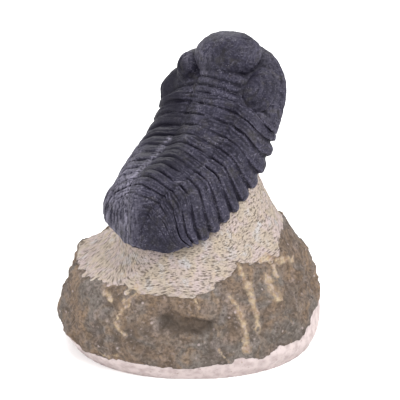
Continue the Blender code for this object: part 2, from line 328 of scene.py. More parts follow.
@dataclass
class Chart:
    """Node tree of one material, with short calls for the nodes that a stone finish needs."""

    material: Material

    @classmethod
    def named(cls, name: str) -> "Chart":
        """Starts a material with its surface shader.

        Args:
            name: name of the material.

        Returns:
            The chart of its nodes.
        """
        material = bpy.data.materials.new(name)
        material.use_nodes = True
        return cls(material)

    @property
    def shader(self) -> bpy.types.Node:
        """The surface shader."""
        return self.material.node_tree.nodes["Principled BSDF"]

    def feed(self, socket: Socket, value: object) -> None:
        """Links a socket or sets its value.

        Args:
            socket: input to fill.
            value: an output socket, a number or a colour.
        """
        if isinstance(value, Socket):
            self.material.node_tree.links.new(value, socket)
        elif isinstance(value, tuple) and len(value) == 3 and len(socket.default_value) == 4:
            socket.default_value = (*value, 1.0)
        else:
            socket.default_value = value

    def node(
        self, kind: str, output: int | str, inputs: dict[int | str, object], **settings: object
    ) -> Socket:
        """Adds a node and fills its inputs.

        Args:
            kind: type of the node.
            output: name or number of the output to give back.
            inputs: values or sockets, by the name or number of the input.
            settings: its properties.

        Returns:
            The output.
        """
        node = self.material.node_tree.nodes.new(kind)
        for key, value in settings.items():
            setattr(node, key, value)
        for key, value in inputs.items():
            self.feed(node.inputs[key], value)
        return node.outputs[output]

    def place(self) -> Socket:
        """Coordinates fixed to the piece."""
        return self.node("ShaderNodeTexCoord", "Object", {})

    def carried(self, name: str, output: str = "Fac") -> Socket:
        """Value that the mesh carries under a name."""
        return self.node("ShaderNodeAttribute", output, {}, attribute_name=name)

    def stretched(self, coords: Socket, turn: Triple, scale: Triple) -> Socket:
        """Coordinates turned by degrees about x, y and z, then stretched by factors along them."""
        inputs = {"Vector": coords, "Rotation": tuple(math.radians(a) for a in turn), "Scale": scale}
        return self.node("ShaderNodeMapping", "Vector", inputs)

    def grain(self, coords: Socket, size_mm: float, detail: float = 3.0, warp: float = 0.0) -> Socket:
        """Soft random pattern from 0 to 1, with blotches of a size, finer layers and a distortion."""
        inputs = {"Vector": coords, "Scale": 1000.0 / size_mm, "Detail": detail, "Distortion": warp}
        return self.node("ShaderNodeTexNoise", "Fac", inputs)

    def specks(self, coords: Socket, size_mm: float) -> Socket:
        """Distance to the nearest of many points, scattered at a mean distance; 0 at a point."""
        inputs = {"Vector": coords, "Scale": 1000.0 / size_mm}
        return self.node("ShaderNodeTexVoronoi", "Distance", inputs)

    def band(self, value: object, low: float, high: float) -> Socket:
        """Value spread so that low becomes 0 and high becomes 1, held between them."""
        inputs = {"Value": value, "From Min": low, "From Max": high}
        return self.node("ShaderNodeMapRange", "Result", inputs, clamp=True)

    def maths(self, operation: str, first: object, second: object) -> Socket:
        """Result of one step of arithmetic on two values."""
        return self.node("ShaderNodeMath", 0, {0: first, 1: second}, operation=operation)

    def times(self, first: object, second: object) -> Socket:
        """Product of two values."""
        return self.maths("MULTIPLY", first, second)

    def plus(self, first: object, second: object) -> Socket:
        """Sum of two values."""
        return self.maths("ADD", first, second)

    def larger(self, first: object, second: object) -> Socket:
        """The larger of two values."""
        return self.maths("MAXIMUM", first, second)

    def mixed(self, factor: object, first: object, second: object) -> Socket:
        """Mix of two colours; the factor is the share of the second."""
        return self.node("ShaderNodeMix", 2, {0: factor, 6: first, 7: second}, data_type="RGBA")

    def layered(self, coords: Socket, colour: object, layers: tuple[Layer, ...]) -> Socket:
        """Lays patterns over a colour.

        Args:
            coords: coordinates of the patterns.
            colour: colour below them.
            layers: the patterns from the lowest up.

        Returns:
            The finished colour.
        """
        for layer in layers:
            if layer.pattern is Pattern.SPECKS:
                values = self.specks(coords, layer.size_mm)
            else:
                values = self.grain(coords, layer.size_mm, layer.detail, layer.warp)
            share = self.times(self.band(values, *layer.band), layer.strength)
            colour = self.mixed(share, colour, layer.tint)
        return colour

    def bump(self, height: object, depth_mm: float, below: object = None) -> Socket:
        """Fine relief in the shading.

        Args:
            height: value of the relief.
            depth_mm: depth between its values 0 and 1.
            below: relief that it is added to.

        Returns:
            The changed surface direction.
        """
        inputs = {"Distance": depth_mm * MM, "Height": height}
        if below is not None:
            inputs["Normal"] = below
        return self.node("ShaderNodeBump", "Normal", inputs)


@dataclass(frozen=True)
class CalciteFinish:
    """Dark blue-grey satin fossil shell: worn ridges, dust patches, painted sheen and painted shade."""

    deep: Triple = (0.007, 0.006, 0.012)
    body: Triple = (0.023, 0.021, 0.036)
    worn: Triple = (0.075, 0.070, 0.100)
    dust: Triple = (0.34, 0.32, 0.40)
    earth: Triple = (0.028, 0.025, 0.021)
    roughness: float = 0.50
    specular: float = 0.12
    loose_dust: float = 0.26
    streaked_dust_and_sheen: float = 0.60
    painted_shade_strength: float = 0.80

    def scratches(self, chart: Chart, place: Socket) -> Socket:
        """Thin scratches that run two ways.

        Args:
            chart: chart to add to.
            place: coordinates fixed to the piece.

        Returns:
            A value, 1 in a scratch.
        """
        across = chart.stretched(place, (20.0, -35.0, 30.0), (1.0, 0.14, 1.0))
        along = chart.stretched(place, (-30.0, 15.0, -40.0), (0.14, 1.0, 1.0))
        return chart.larger(
            chart.band(chart.grain(across, 0.55, 2.0), 0.60, 0.72),
            chart.band(chart.grain(along, 0.55, 2.0), 0.61, 0.73),
        )

    def streaks(self, chart: Chart, place: Socket, carriers: Socket) -> Socket:
        """Dust, and the painted sheen of the upper right, lying in streaks down the shell.

        Args:
            chart: chart to add to.
            place: coordinates fixed to the piece.
            carriers: value that draws the dust and the painted sheen, higher on ridges.

        Returns:
            A value, 1 in a full streak.
        """
        down = chart.stretched(place, (0.0, 22.0, 0.0), (1.0, 1.0, 0.13))
        lines = chart.times(chart.grain(down, 0.75, 3.0), 1.5)
        lines = chart.plus(lines, chart.times(carriers, 0.45))
        return chart.times(chart.band(lines, 1.02, 1.52), chart.carried("dust"))

    def build(self) -> Material:
        """Makes the material.

        Returns:
            The material.
        """
        chart = Chart.named("dark fossil calcite")
        place = chart.place()
        ridge = chart.carried("ridge")
        fine = chart.grain(place, 0.55, 4.0)
        mottle = (
            Layer(self.body, 5.0, (0.3, 0.7), detail=5.0, warp=0.4),
            Layer(self.earth, 3.5, (0.52, 0.70), strength=0.6, detail=5.0, warp=0.8),
        )
        colour = chart.layered(place, self.deep, mottle)
        # Painted shade: grooves and hollows, where the ridge value is low, take the deep colour.
        colour = chart.mixed(chart.band(ridge, 0.36, 0.52), self.deep, colour)
        wear = chart.times(chart.band(ridge, 0.47, 0.76), chart.band(fine, 0.40, 0.62))
        colour = chart.mixed(wear, colour, self.worn)
        scratches = self.scratches(chart, place)
        dots = chart.band(chart.specks(place, 1.1), 0.17, 0.08)
        patches = chart.band(chart.grain(place, 5.0, 4.0), 0.38, 0.62)
        loose = chart.times(chart.larger(scratches, dots), patches)
        streaks = self.streaks(chart, place, chart.plus(ridge, fine))
        dust_and_sheen_mix = chart.larger(
            chart.times(loose, self.loose_dust),
            chart.times(streaks, self.streaked_dust_and_sheen),
        )
        # The dust colour also paints the sheen on the upper right.
        colour = chart.mixed(dust_and_sheen_mix, colour, self.dust)
        # Painted shade: the upper left of the shell is darkened towards the deep colour.
        shelter = chart.times(chart.carried("shelter"), self.painted_shade_strength)
        chart.feed(chart.shader.inputs["Base Color"], chart.mixed(shelter, colour, self.deep))
        matt = chart.plus(chart.times(fine, 0.22), self.roughness - 0.11)
        matt = chart.plus(matt, chart.times(dust_and_sheen_mix, 0.3))
        chart.feed(chart.shader.inputs["Roughness"], matt)
        chart.shader.inputs["Specular IOR Level"].default_value = self.specular
        relief = chart.bump(fine, 0.16)
        relief = chart.bump(chart.grain(place, 0.22, 2.0), 0.06, relief)
        relief = chart.bump(scratches, -0.04, relief)
        chart.feed(chart.shader.inputs["Normal"], relief)
        return chart.material


@dataclass(frozen=True)
class LimestoneFinish:
    """Matt limestone: brown mottled skin, pale tool-marked zone, cream veins, pale ground rim, painted
    shadow in the hollow.
    """

    skin: Triple = (0.160, 0.115, 0.085)
    grey: Triple = (0.146, 0.126, 0.112)
    ochre: Triple = (0.235, 0.157, 0.098)
    prepared: Triple = (0.350, 0.294, 0.240)
    blush: Triple = (0.370, 0.303, 0.292)
    cool: Triple = (0.370, 0.358, 0.362)
    stroke: Triple = (0.112, 0.088, 0.070)
    cream: Triple = (0.375, 0.296, 0.198)
    rim: Triple = (0.50, 0.425, 0.415)
    shade: Triple = (0.044, 0.032, 0.024)
    roughness: float = 0.88
    specular: float = 0.25
    hollow_shade: float = 0.74

    def skin_colour(self, chart: Chart, place: Socket) -> Socket:
        """Weathered skin, with the painted shadow of the front hollow.

        Args:
            chart: chart to add to.
            place: coordinates fixed to the piece.

        Returns:
            Its colour.
        """
        layers = (
            Layer(self.grey, 13.0, (0.42, 0.58), detail=4.0, warp=1.0),
            Layer(self.ochre, 8.0, (0.50, 0.66), strength=0.6, detail=6.0, warp=1.5),
            Layer(self.shade, 5.5, (0.44, 0.64), strength=0.55, detail=7.0, warp=1.0),
            Layer(self.blush, 6.0, (0.54, 0.70), strength=0.22, detail=5.0, warp=1.0),
            Layer(self.shade, 1.0, (0.42, 0.62), strength=0.60, detail=6.0),
            Layer(self.blush, 0.9, (0.57, 0.72), strength=0.30, detail=6.0),
            Layer(self.shade, 3.1, (0.16, 0.05), strength=0.75, pattern=Pattern.SPECKS),
            Layer(self.blush, 4.2, (0.13, 0.06), strength=0.65, pattern=Pattern.SPECKS),
        )
        # Painted shadow: the hollow in the front is darkened towards the shade colour.
        stain = chart.times(chart.carried(Zone.STAIN.value), self.hollow_shade)
        return chart.mixed(stain, chart.layered(place, self.skin, layers), self.shade)

    def prepared_colour(self, chart: Chart, place: Socket, flow: Socket, strokes: Socket) -> Socket:
        """Pale zone with tool strokes.

        Args:
            chart: chart to add to.
            place: coordinates fixed to the piece.
            flow: coordinates along and across the tool strokes.
            strokes: value of the strokes, 1 in a mark.

        Returns:
            Its colour.
        """
        blotches = (
            Layer(self.blush, 5.0, (0.42, 0.60), detail=5.0, warp=0.8),
            Layer(self.cool, 3.6, (0.54, 0.70), strength=0.8, detail=5.0, warp=0.5),
            Layer(self.cream, 2.2, (0.54, 0.70), strength=0.45, detail=5.0, warp=0.5),
        )
        hair = Layer(self.stroke, 430.0, (0.47, 0.70), strength=0.48)
        grit = Layer(self.stroke, 0.7, (0.52, 0.72), strength=0.40, detail=4.0)
        colour = chart.layered(flow, chart.layered(place, self.prepared, blotches), (hair,))
        return chart.mixed(strokes, chart.layered(place, colour, (grit,)), self.stroke)

    def strokes(self, chart: Chart, flow: Socket) -> Socket:
        """Long and short tool strokes.

        Args:
            chart: chart to add to.
            flow: coordinates along and across the tool strokes.

        Returns:
            A value, highest in a mark.
        """
        uneven = chart.times(chart.grain(flow, 700.0, 2.0), 0.5)
        long = chart.band(chart.plus(chart.specks(flow, 1000.0), uneven), 0.58, 0.42)
        short = chart.band(chart.plus(chart.specks(flow, 640.0), uneven), 0.62, 0.40)
        return chart.larger(chart.times(long, 0.85), chart.times(short, 0.6))

    def build(self) -> Material:
        """Makes the material.

        Returns:
            The material.
        """
        chart = Chart.named("limestone matrix")
        place = chart.place()
        flow = chart.carried("flow", "Vector")
        strokes = self.strokes(chart, flow)
        ragged = chart.maths("SUBTRACT", chart.grain(place, 0.7, 3.0), 0.5)
        edge = chart.plus(chart.carried(Zone.PREPARED.value), chart.times(ragged, 0.5))
        prepared = chart.band(edge, 0.42, 0.58)
        pale = self.prepared_colour(chart, place, flow, strokes)
        colour = chart.mixed(prepared, self.skin_colour(chart, place), pale)
        broken = chart.maths("SUBTRACT", chart.grain(place, 2.0, 5.0), 0.5)
        vein = chart.plus(chart.carried(Zone.VEIN.value), chart.times(ragged, 0.8))
        vein = chart.band(chart.plus(vein, chart.times(broken, 1.6)), 0.40, 1.0)
        filling = (
            Layer(self.ochre, 1.8, (0.40, 0.62), detail=5.0),
            Layer(self.blush, 1.1, (0.48, 0.66), strength=0.6, detail=4.0),
        )
        cream = chart.layered(place, self.cream, filling)
        colour = chart.mixed(chart.times(vein, 0.92), colour, cream)
        low = chart.plus(chart.carried(Zone.RIM.value), chart.times(ragged, 0.6))
        rim = chart.band(low, 0.44, 0.58)
        ground = (
            Layer(self.blush, 2.4, (0.42, 0.66), detail=6.0),
            Layer(self.skin, 1.0, (0.62, 0.74), strength=0.6, detail=5.0),
        )
        colour = chart.mixed(rim, colour, chart.layered(place, self.rim, ground))
        chart.feed(chart.shader.inputs["Base Color"], colour)
        chart.shader.inputs["Roughness"].default_value = self.roughness
        chart.shader.inputs["Specular IOR Level"].default_value = self.specular
        rough_skin = chart.maths("SUBTRACT", 1.0, chart.larger(prepared, rim))
        relief = chart.bump(chart.times(chart.grain(place, 1.6, 7.0), rough_skin), 1.1)
        relief = chart.bump(chart.times(strokes, prepared), -0.25, relief)
        relief = chart.bump(chart.grain(place, 0.35, 3.0), 0.14, relief)
        chart.feed(chart.shader.inputs["Normal"], relief)
        return chart.material


def store_ridges(bm: Mesh, gain: float) -> None:
    """Stores how far each point stands out from its neighbours: 0.5 on level ground, more on a ridge.

    Args:
        bm: mesh to mark.
        gain: how strongly small reliefs show.
    """
    bm.normal_update()
    bm.verts.index_update()
    values = []
    for vert in bm.verts:
        near = [e.other_vert(vert).co for e in vert.link_edges]
        middle = sum(near, Vector()) / len(near)
        reach = sum((p - vert.co).length for p in near) / len(near)
        values.append((vert.co - middle).dot(vert.normal) / max(reach, 1e-7))
    own = 0.4
    for _ in range(3):
        values = [
            own * values[v.index]
            + (1.0 - own) * sum(values[e.other_vert(v).index] for e in v.link_edges) / len(v.link_edges)
            for v in bm.verts
        ]
    layer = bm.verts.layers.float.new("ridge")
    for vert, value in zip(bm.verts, values):
        vert[layer] = min(max(0.5 + gain * value, 0.0), 1.0)


def finished_piece(name: str, bm: Mesh, material: Material) -> Piece:
    """Turns a mesh into a piece that rides on the object.

    Args:
        name: name of the piece.
        bm: its mesh, in the layout frame.
        material: its finish.

    Returns:
        The piece, at the origin.
    """
    bmesh.ops.translate(bm, verts=bm.verts, vec=ORIGIN_SHIFT)
    for face in bm.faces:
        face.smooth = True
    mesh = bpy.data.meshes.new(name)
    bm.to_mesh(mesh)
    bm.free()
    mesh.materials.append(material)
    piece = bpy.data.objects.new(name, mesh)
    bpy.context.scene.collection.objects.link(piece)
    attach(piece, "root")
    LOG.info("%s: %d triangles", name, sum(len(p.vertices) - 2 for p in mesh.polygons))
    return piece


def fused(bm: Mesh, voxel: float, passes: int) -> Mesh:
    """Fuses overlapping closed forms into one skin.

    Args:
        bm: the forms; it is used up.
        voxel: size of the cells of the new skin.
        passes: rounds of smoothing.

    Returns:
        The new mesh.
    """
    mesh = bpy.data.meshes.new("forms")
    bm.to_mesh(mesh)
    bm.free()
    forms = bpy.data.objects.new("forms", mesh)
    bpy.context.scene.collection.objects.link(forms)
    modifier = forms.modifiers.new("fuse", "REMESH")
    modifier.mode = "VOXEL"
    modifier.voxel_size = voxel
    bpy.context.view_layer.update()
    graph = bpy.context.evaluated_depsgraph_get()
    skin = bpy.data.meshes.new_from_object(forms.evaluated_get(graph))
    result = bmesh.new()
    result.from_mesh(skin)
    bpy.data.objects.remove(forms, do_unlink=True)
    bpy.data.meshes.remove(mesh)
    bpy.data.meshes.remove(skin)
    for _ in range(passes):
        bmesh.ops.smooth_vert(
            result, verts=result.verts, factor=0.5, use_axis_x=True, use_axis_y=True, use_axis_z=True
        )
    return result


def wrapped_grid(columns: int, rows: int, place: Callable[[int, int], Vector]) -> Mesh:
    """Tube from a grid, closed along its seam and at both ends.

    Args:
        columns: faces round the tube.
        rows: faces along it.
        place: function of column and row number that gives a point.

    Returns:
        The mesh, with its faces turned outward.
    """
    bm = bmesh.new()
    bmesh.ops.create_grid(bm, x_segments=columns, y_segments=rows, size=1.0)
    for vert in bm.verts:
        column = round((vert.co.x + 1.0) / 2.0 * columns)
        row = round((vert.co.y + 1.0) / 2.0 * rows)
        vert.co = place(column, row)
    bmesh.ops.remove_doubles(bm, verts=bm.verts, dist=0.0000005)
    ends = [e for e in bm.edges if e.is_boundary]
    if ends:
        caps = bmesh.ops.holes_fill(bm, edges=ends, sides=0)["faces"]
        bmesh.ops.triangulate(bm, faces=caps)
    bmesh.ops.recalc_face_normals(bm, faces=bm.faces)
    return bm


@dataclass
class Carapace:
    """Tail shield and thorax: axial rings, ribs and overlapping pleurae, as one shell.

    Lengths are in millimetres and shares go from the crest to a tip. Curves go by the place along
    the back, counted in segments from the front of the tail shield.
    """

    backbone: Backbone
    columns: int = 190
    rows_per_segment: int = 16
    shell: float = 2.4
    axis_share: float = 0.33
    ring_groove: float = 0.50
    pleura_groove: float = 0.46
    pleural_furrow: float = 0.18
    lobe_step: float = 1.0
    tip_notch: float = 0.65
    tip_lift: float = 0.5
    tail_rings: int = 6
    axial_furrow: float = 0.26
    fall_deg: float = 85.0
    flat_share: float = 0.30
    grain: tuple[tuple[float, float], ...] = ((0.24, 4.0), (0.12, 1.3), (0.06, 0.5))
    half_width: Curve = Curve(
        (
            (-5.5, 2.6), (-5.1, 6.4), (-4.4, 10.4), (-2.9, 14.2), (-1.4, 15.7), (0.0, 16.3),
            (2.0, 17.8), (4.0, 19.8), (6.5, 20.6), (9.0, 20.0), (11.0, 19.2),
        )
    )
    drop: Curve = Curve(
        (
            (-5.5, 1.6), (-4.4, 3.1), (-2.9, 5.6), (-2.1, 7.2), (-1.4, 8.9), (-0.7, 10.5),
            (0.0, 12.2), (1.0, 14.6), (2.5, 16.8), (5.0, 15.4), (7.0, 14.2), (11.0, 13.6),
        )
    )
    sweep: Curve = Curve(
        (
            (-5.5, 1.5), (-4.4, 5.2), (-2.9, 8.6), (-2.1, 9.9), (-1.4, 10.1), (-0.7, 10.1),
            (0.0, 9.4), (2.5, 6.6), (5.0, 4.4), (11.0, 4.4),
        )
    )
    axis_half: Curve = Curve(
        ((-5.5, 1.2), (-4.6, 1.9), (-2.5, 3.7), (0.0, 6.2), (4.0, 7.8), (11.0, 8.3))
    )
    axis_height: Curve = Curve(((-5.5, 0.8), (-4.4, 1.6), (-1.5, 2.8), (0.0, 3.2), (11.0, 3.2)))
    left_spread: Curve = Curve(
        (
            (-5.5, 0.66), (-4.4, 0.55), (-3.0, 0.57), (-1.2, 0.79), (1.0, 0.98), (3.0, 1.02),
            (6.0, 1.12), (8.5, 1.16), (10.5, 1.17), (11.0, 1.12),
        )
    )
    right_spread: Curve = Curve(
        (
            (-5.5, 1.0), (-4.2, 0.97), (-2.6, 0.90), (-1.0, 0.93), (1.0, 0.97), (3.0, 0.955),
            (11.0, 0.955),
        )
    )
    right_trim: Curve = Curve(((-5.5, 0.4), (-4.0, 1.5), (-2.4, 1.9), (-1.0, 1.0), (0.4, 0.0)))
    left_lift: Curve = Curve(((7.0, 0.0), (9.5, 1.0), (11.0, 2.6)))
    axis_shift: Curve = Curve(((-5.5, -1.0), (-4.0, -1.8), (-1.5, -1.9), (1.5, -1.0), (4.0, 0.0)))

    def slice_at(self, station: float) -> Slice:
        """Sizes of the body at a station.

        Args:
            station: place in segments.

        Returns:
            The slice.
        """
        point, ahead, above = self.backbone.frame_at(station)
        half = self.half_width.at(station) * MM
        sizes = (
            *(self.drop, self.left_lift, self.right_trim, self.axis_shift),
            *(self.axis_half, self.axis_height, self.sweep),
        )
        return Slice(
            station,
            point,
            ahead,
            above,
            half * self.left_spread.at(station),
            half * self.right_spread.at(station),
            *(size.at(station) * MM for size in sizes),
        )

    def arch(self, cut: Slice, share: float) -> Triple:
        """Outline of the back across one slice.

        Args:
            cut: slice of the body.
            share: place over the back, from -1 at the left tip to 1 at the right tip.

        Returns:
            Distance sideways, height against the crest, and sweep towards the tail.
        """
        half = cut.half_left if share < 0.0 else cut.half_right
        aside = abs(share)
        if aside <= self.axis_share:
            t = aside / self.axis_share
            round_x = math.sin(t * math.pi / 2)
            round_z = 1.0 - math.cos(t * math.pi / 2)
            x = cut.axis * (0.3 * round_x + 0.7 * t)
            z = -cut.height * (0.3 * round_z + 0.7 * (0.5 - 0.5 * math.cos(t * math.pi)))
        else:
            along = (aside - self.axis_share) / (1.0 - self.axis_share)
            full = math.radians(self.fall_deg)
            wide = half - cut.axis
            flat = wide * self.flat_share * min(along / self.flat_share, 1.0)
            bend = full * max(along - 0.16, 0.0) / 0.84
            x = cut.axis + flat + wide * (1.0 - self.flat_share) * math.sin(bend) / math.sin(full)
            fallen = (1.0 - math.cos(full * along**1.12)) / (1.0 - math.cos(full))
            z = -cut.height - (cut.drop - cut.height) * fallen
        if share < 0.0:
            z += cut.lift_left * eased(self.axis_share, 1.0, aside)
        back = cut.sweep * eased(0.32, 0.88, aside)
        if share > 0.0:
            back -= cut.trim_right * eased(0.4, 1.0, aside)
        return math.copysign(x, share) + cut.shift * (1.0 - aside * aside), z, back

    def point_at(self, cut: Slice, share: float, depth: float, lift: float = 0.0) -> Vector:
        """Point under the smooth back.

        Args:
            cut: slice of the body.
            share: place over the back, from -1 to 1.
            depth: depth under the smooth form, in metres.
            lift: rise along the upward direction, in metres.

        Returns:
            The point.
        """
        x, z, back = self.arch(cut, share)
        lean = eased(0.55, 1.0, share) if share > 0.0 else eased(0.38, 0.80, -share)
        inward = cut.above * (1.0 - 0.8 * lean) + self.backbone.side * math.copysign(0.9 * lean, share)
        smooth = cut.point + self.backbone.side * x + cut.above * (z + lift) - cut.ahead * back
        return smooth - inward * depth

    def segment_relief(self, place: float, aside: float) -> tuple[float, float]:
        """Relief across one thoracic segment.

        Args:
            place: place in the segment, 0 at its rear edge and 1 at its front.
            aside: place over the back, 0 at the crest and 1 at a tip.

        Returns:
            Depth in millimetres, and how far the tip is drawn in, from 0 to 1.
        """
        groove = hump(place, 0.0, 0.075) + hump(place, 1.0, 0.11)
        ring = self.ring_groove * groove
        ring += 0.24 * eased(0.55, 0.92, place) + 0.10 * eased(0.35, 0.05, place)
        inner = self.pleura_groove * groove + self.pleural_furrow * hump(place, 0.64, 0.085)
        inner += 0.18 * eased(0.7, 0.95, place)
        outer = self.lobe_step * (1.0 - eased(0.0, 0.12, place))
        outer += self.lobe_step * eased(0.48, 1.0, place) ** 1.5
        side = eased(self.axis_share - 0.05, self.axis_share + 0.07, aside)
        far = eased(0.58, 0.76, aside)
        depth = ring * (1.0 - side) + side * (inner * (1.0 - far) + outer * far)
        notch = 1.0 - eased(0.0, 0.22, place) * (1.0 - eased(0.45, 1.0, place))
        return depth, notch

    def tail_relief(self, station: float, aside: float) -> float:
        """Depth of the tail shield's relief in millimetres.

        Args:
            station: place in segments, below 0.
            aside: place over the back, 0 at the crest and 1 at the margin.

        Returns:
            The depth.
        """
        count = self.tail_rings * (1.0 + (station + 0.12) / 4.9)
        if count < 0.0:
            return 0.0
        place = count - math.floor(count)
        groove = hump(place, 0.0, 0.17) + hump(place, 1.0, 0.17)
        strength = 0.05 + 0.24 * eased(1.8, 5.8, count)
        rib = 0.12 * hump(place, 0.5, 0.10) * eased(0.4, 0.6, aside)
        return (groove * strength + rib * strength) * eased(0.98, 0.84, aside)

    def surface(self, cut: Slice, share: float) -> Vector:
        """Point of the finished back.

        Args:
            cut: slice of the body.
            share: place over the back, from -1 to 1.

        Returns:
            The point.
        """
        aside = abs(share)
        wobble = 0.05 * noise.noise(Vector((share * 2.4, cut.station * 0.9, 3.0)))
        station = cut.station + wobble * eased(1.0, 0.7, aside)
        reach = aside
        if share < 0.0:
            reach += 0.21 * eased(0.35, 0.47, aside) * eased(1.0, 0.75, aside)
        depth, notch = self.segment_relief(station - math.floor(station), reach)
        if station < 0.0:
            blend = eased(-0.18, 0.02, station)
            depth = depth * blend + self.tail_relief(station, aside) * (1.0 - blend)
            notch *= blend
        uneven = 1.6 * noise.noise(Vector((share * 6.0, station * 1.3, 5.0)))
        depth *= 1.0 + uneven * eased(0.85, 0.60, aside)
        depth += self.striae(station, share)
        depth += self.axial_furrow * hump(aside, self.axis_share, 0.05) * eased(-5.4, -3.5, station)
        depth -= rough(self.point_at(cut, share, 0.0) / MM, self.grain)
        tip = notch * eased(0.76, 1.0, aside)
        sunk = (depth + self.tip_notch * tip) * MM
        return self.point_at(cut, share, sunk, self.tip_lift * tip * MM)

    def striae(self, station: float, share: float) -> float:
        """Depth of the fine lines across the back in millimetres.

        Args:
            station: place in segments.
            share: place over the back, from -1 to 1.

        Returns:
            The depth.
        """
        aside = abs(share)
        wave = station * 3.0 + 1.3 * noise.noise(Vector((share * 3.0, station * 1.7, 9.0)))
        strength = 0.5 + 0.5 * noise.noise(Vector((share * 9.0, station * 2.0, 1.0)))
        strength *= 0.17 * eased(0.80, 0.60, aside) * eased(-4.0, 0.5, station)
        return strength * math.sin(2.0 * math.pi * wave)

    def stations(self) -> list[float]:
        """Places of the rows, closer together across the step between two segments.

        Returns:
            The places in segments, from the tail tip to the head joint.
        """
        places = []
        rows = self.rows_per_segment
        for index in range(self.backbone.segments):
            for i in range(rows):
                t = i / rows
                places.append(index + t - 0.35 * math.sin(2.0 * math.pi * t) / (2.0 * math.pi))
        count = round(-self.backbone.tail_end * rows)
        tail = [self.backbone.tail_end * (1.0 - i / count) for i in range(count)]
        return [*tail, *places, float(self.backbone.segments)]

    def build(self, material: Material) -> Piece:
        """Makes the shell of tail and thorax.

        Args:
            material: its finish.

        Returns:
            The piece.
        """
        slices = [self.slice_at(s) for s in self.stations()]
        inner = ((share, self.shell) for share in (0.78, 0.60, 0.40, 0.2, 0.0))
        under = ((0.99, 0.5), (0.96, 1.2), (0.90, 2.0), *inner)
        below = [*under, *((-share, depth) for share, depth in reversed(under[:-1]))]

        def place(column: int, row: int) -> Vector:
            """Point of the shell.

            Args:
                column: number of the point round the shell.
                row: number of the slice.

            Returns:
                The point.
            """
            cut = slices[row]
            number = column % (self.columns + len(below) + 1)
            if number <= self.columns:
                return self.surface(cut, -1.0 + 2.0 * number / self.columns)
            share, depth = below[number - self.columns - 1]
            end = math.copysign(1.0, share)
            rim = self.surface(cut, end) - self.point_at(cut, end, 0.0)
            hold = eased(0.6, 1.0, abs(share))
            return self.point_at(cut, share, (depth + 0.7) * MM) + rim * hold

        bm = wrapped_grid(self.columns + len(below) + 1, len(slices) - 1, place)
        store_ridges(bm, 2.2)
        worn = -self.axis_share - 0.02
        crest = tuple(self.point_at(self.slice_at(i / 2.0), worn, 0.0) for i in range(-9, 14))
        DustAndPaintedLight(crest=crest, painted_sheen=0.10).store(bm)
        return finished_piece("trilobite_thorax_and_tail", bm, material)


@dataclass(frozen=True)
class DustAndPaintedLight:
    """Pale dust on the shell, a painted sheen on its upper right, and painted shade on its upper left.

    Attributes:
        crest: points of a worn edge; none where there is no such edge.
        painted_sheen: strength of the paler painted sheen on the upper right, from 0 to 1.
        spots: dusty spots, each with its place in x and z and its radius in millimetres.
        flank: strength on the lower left flank.
        edge: strength along the worn edge.
        spot: strength in the middle of a spot.
    """

    crest: tuple[Vector, ...] = ()
    painted_sheen: float = 0.0
    spots: tuple[Triple, ...] = ()
    flank: float = 0.62
    edge: float = 0.75
    spot: float = 0.45

    def edge_at(self, place: Vector) -> float:
        """Strength of the dust along the worn edge.

        Args:
            place: place in metres.

        Returns:
            The strength, from 0 to 1.
        """
        if not self.crest or place.x >= 0.0:
            return 0.0
        near = min((place - point).length for point in self.crest) / MM
        return self.edge * hump(near, 0.0, 1.3) * eased(0.0, -6.0, place.x / MM)

    def store(self, bm: Mesh) -> None:
        """Stores where dust and painted sheen lie, and where painted shade darkens the shell.

        Args:
            bm: mesh in the layout frame.
        """
        dust_and_sheen_mix = bm.verts.layers.float.new("dust")
        dark = bm.verts.layers.float.new("shelter")
        for vert in bm.verts:
            at = vert.co / MM
            edge = self.edge_at(vert.co)
            value = self.flank * eased(-12.0, -20.0, at.x) * eased(68.0, 58.0, at.z)
            # Painted sheen: the upper right is made paler, where the key light falls.
            value += edge + self.painted_sheen * eased(12.0, 20.0, at.x) * eased(56.0, 66.0, at.z)
            for x, z, reach in self.spots:
                value += self.spot * hump(math.hypot(at.x - x, at.z - z), 0.0, reach)
            vert[dust_and_sheen_mix] = min(value, 1.0)
            # Painted shade: darker on the upper left, away from the key light, but not along the worn
            # edge.
            vert[dark] = eased(1.0, -5.0, at.x) * eased(56.0, 61.0, at.z) * (1.0 - min(edge * 1.4, 1.0))


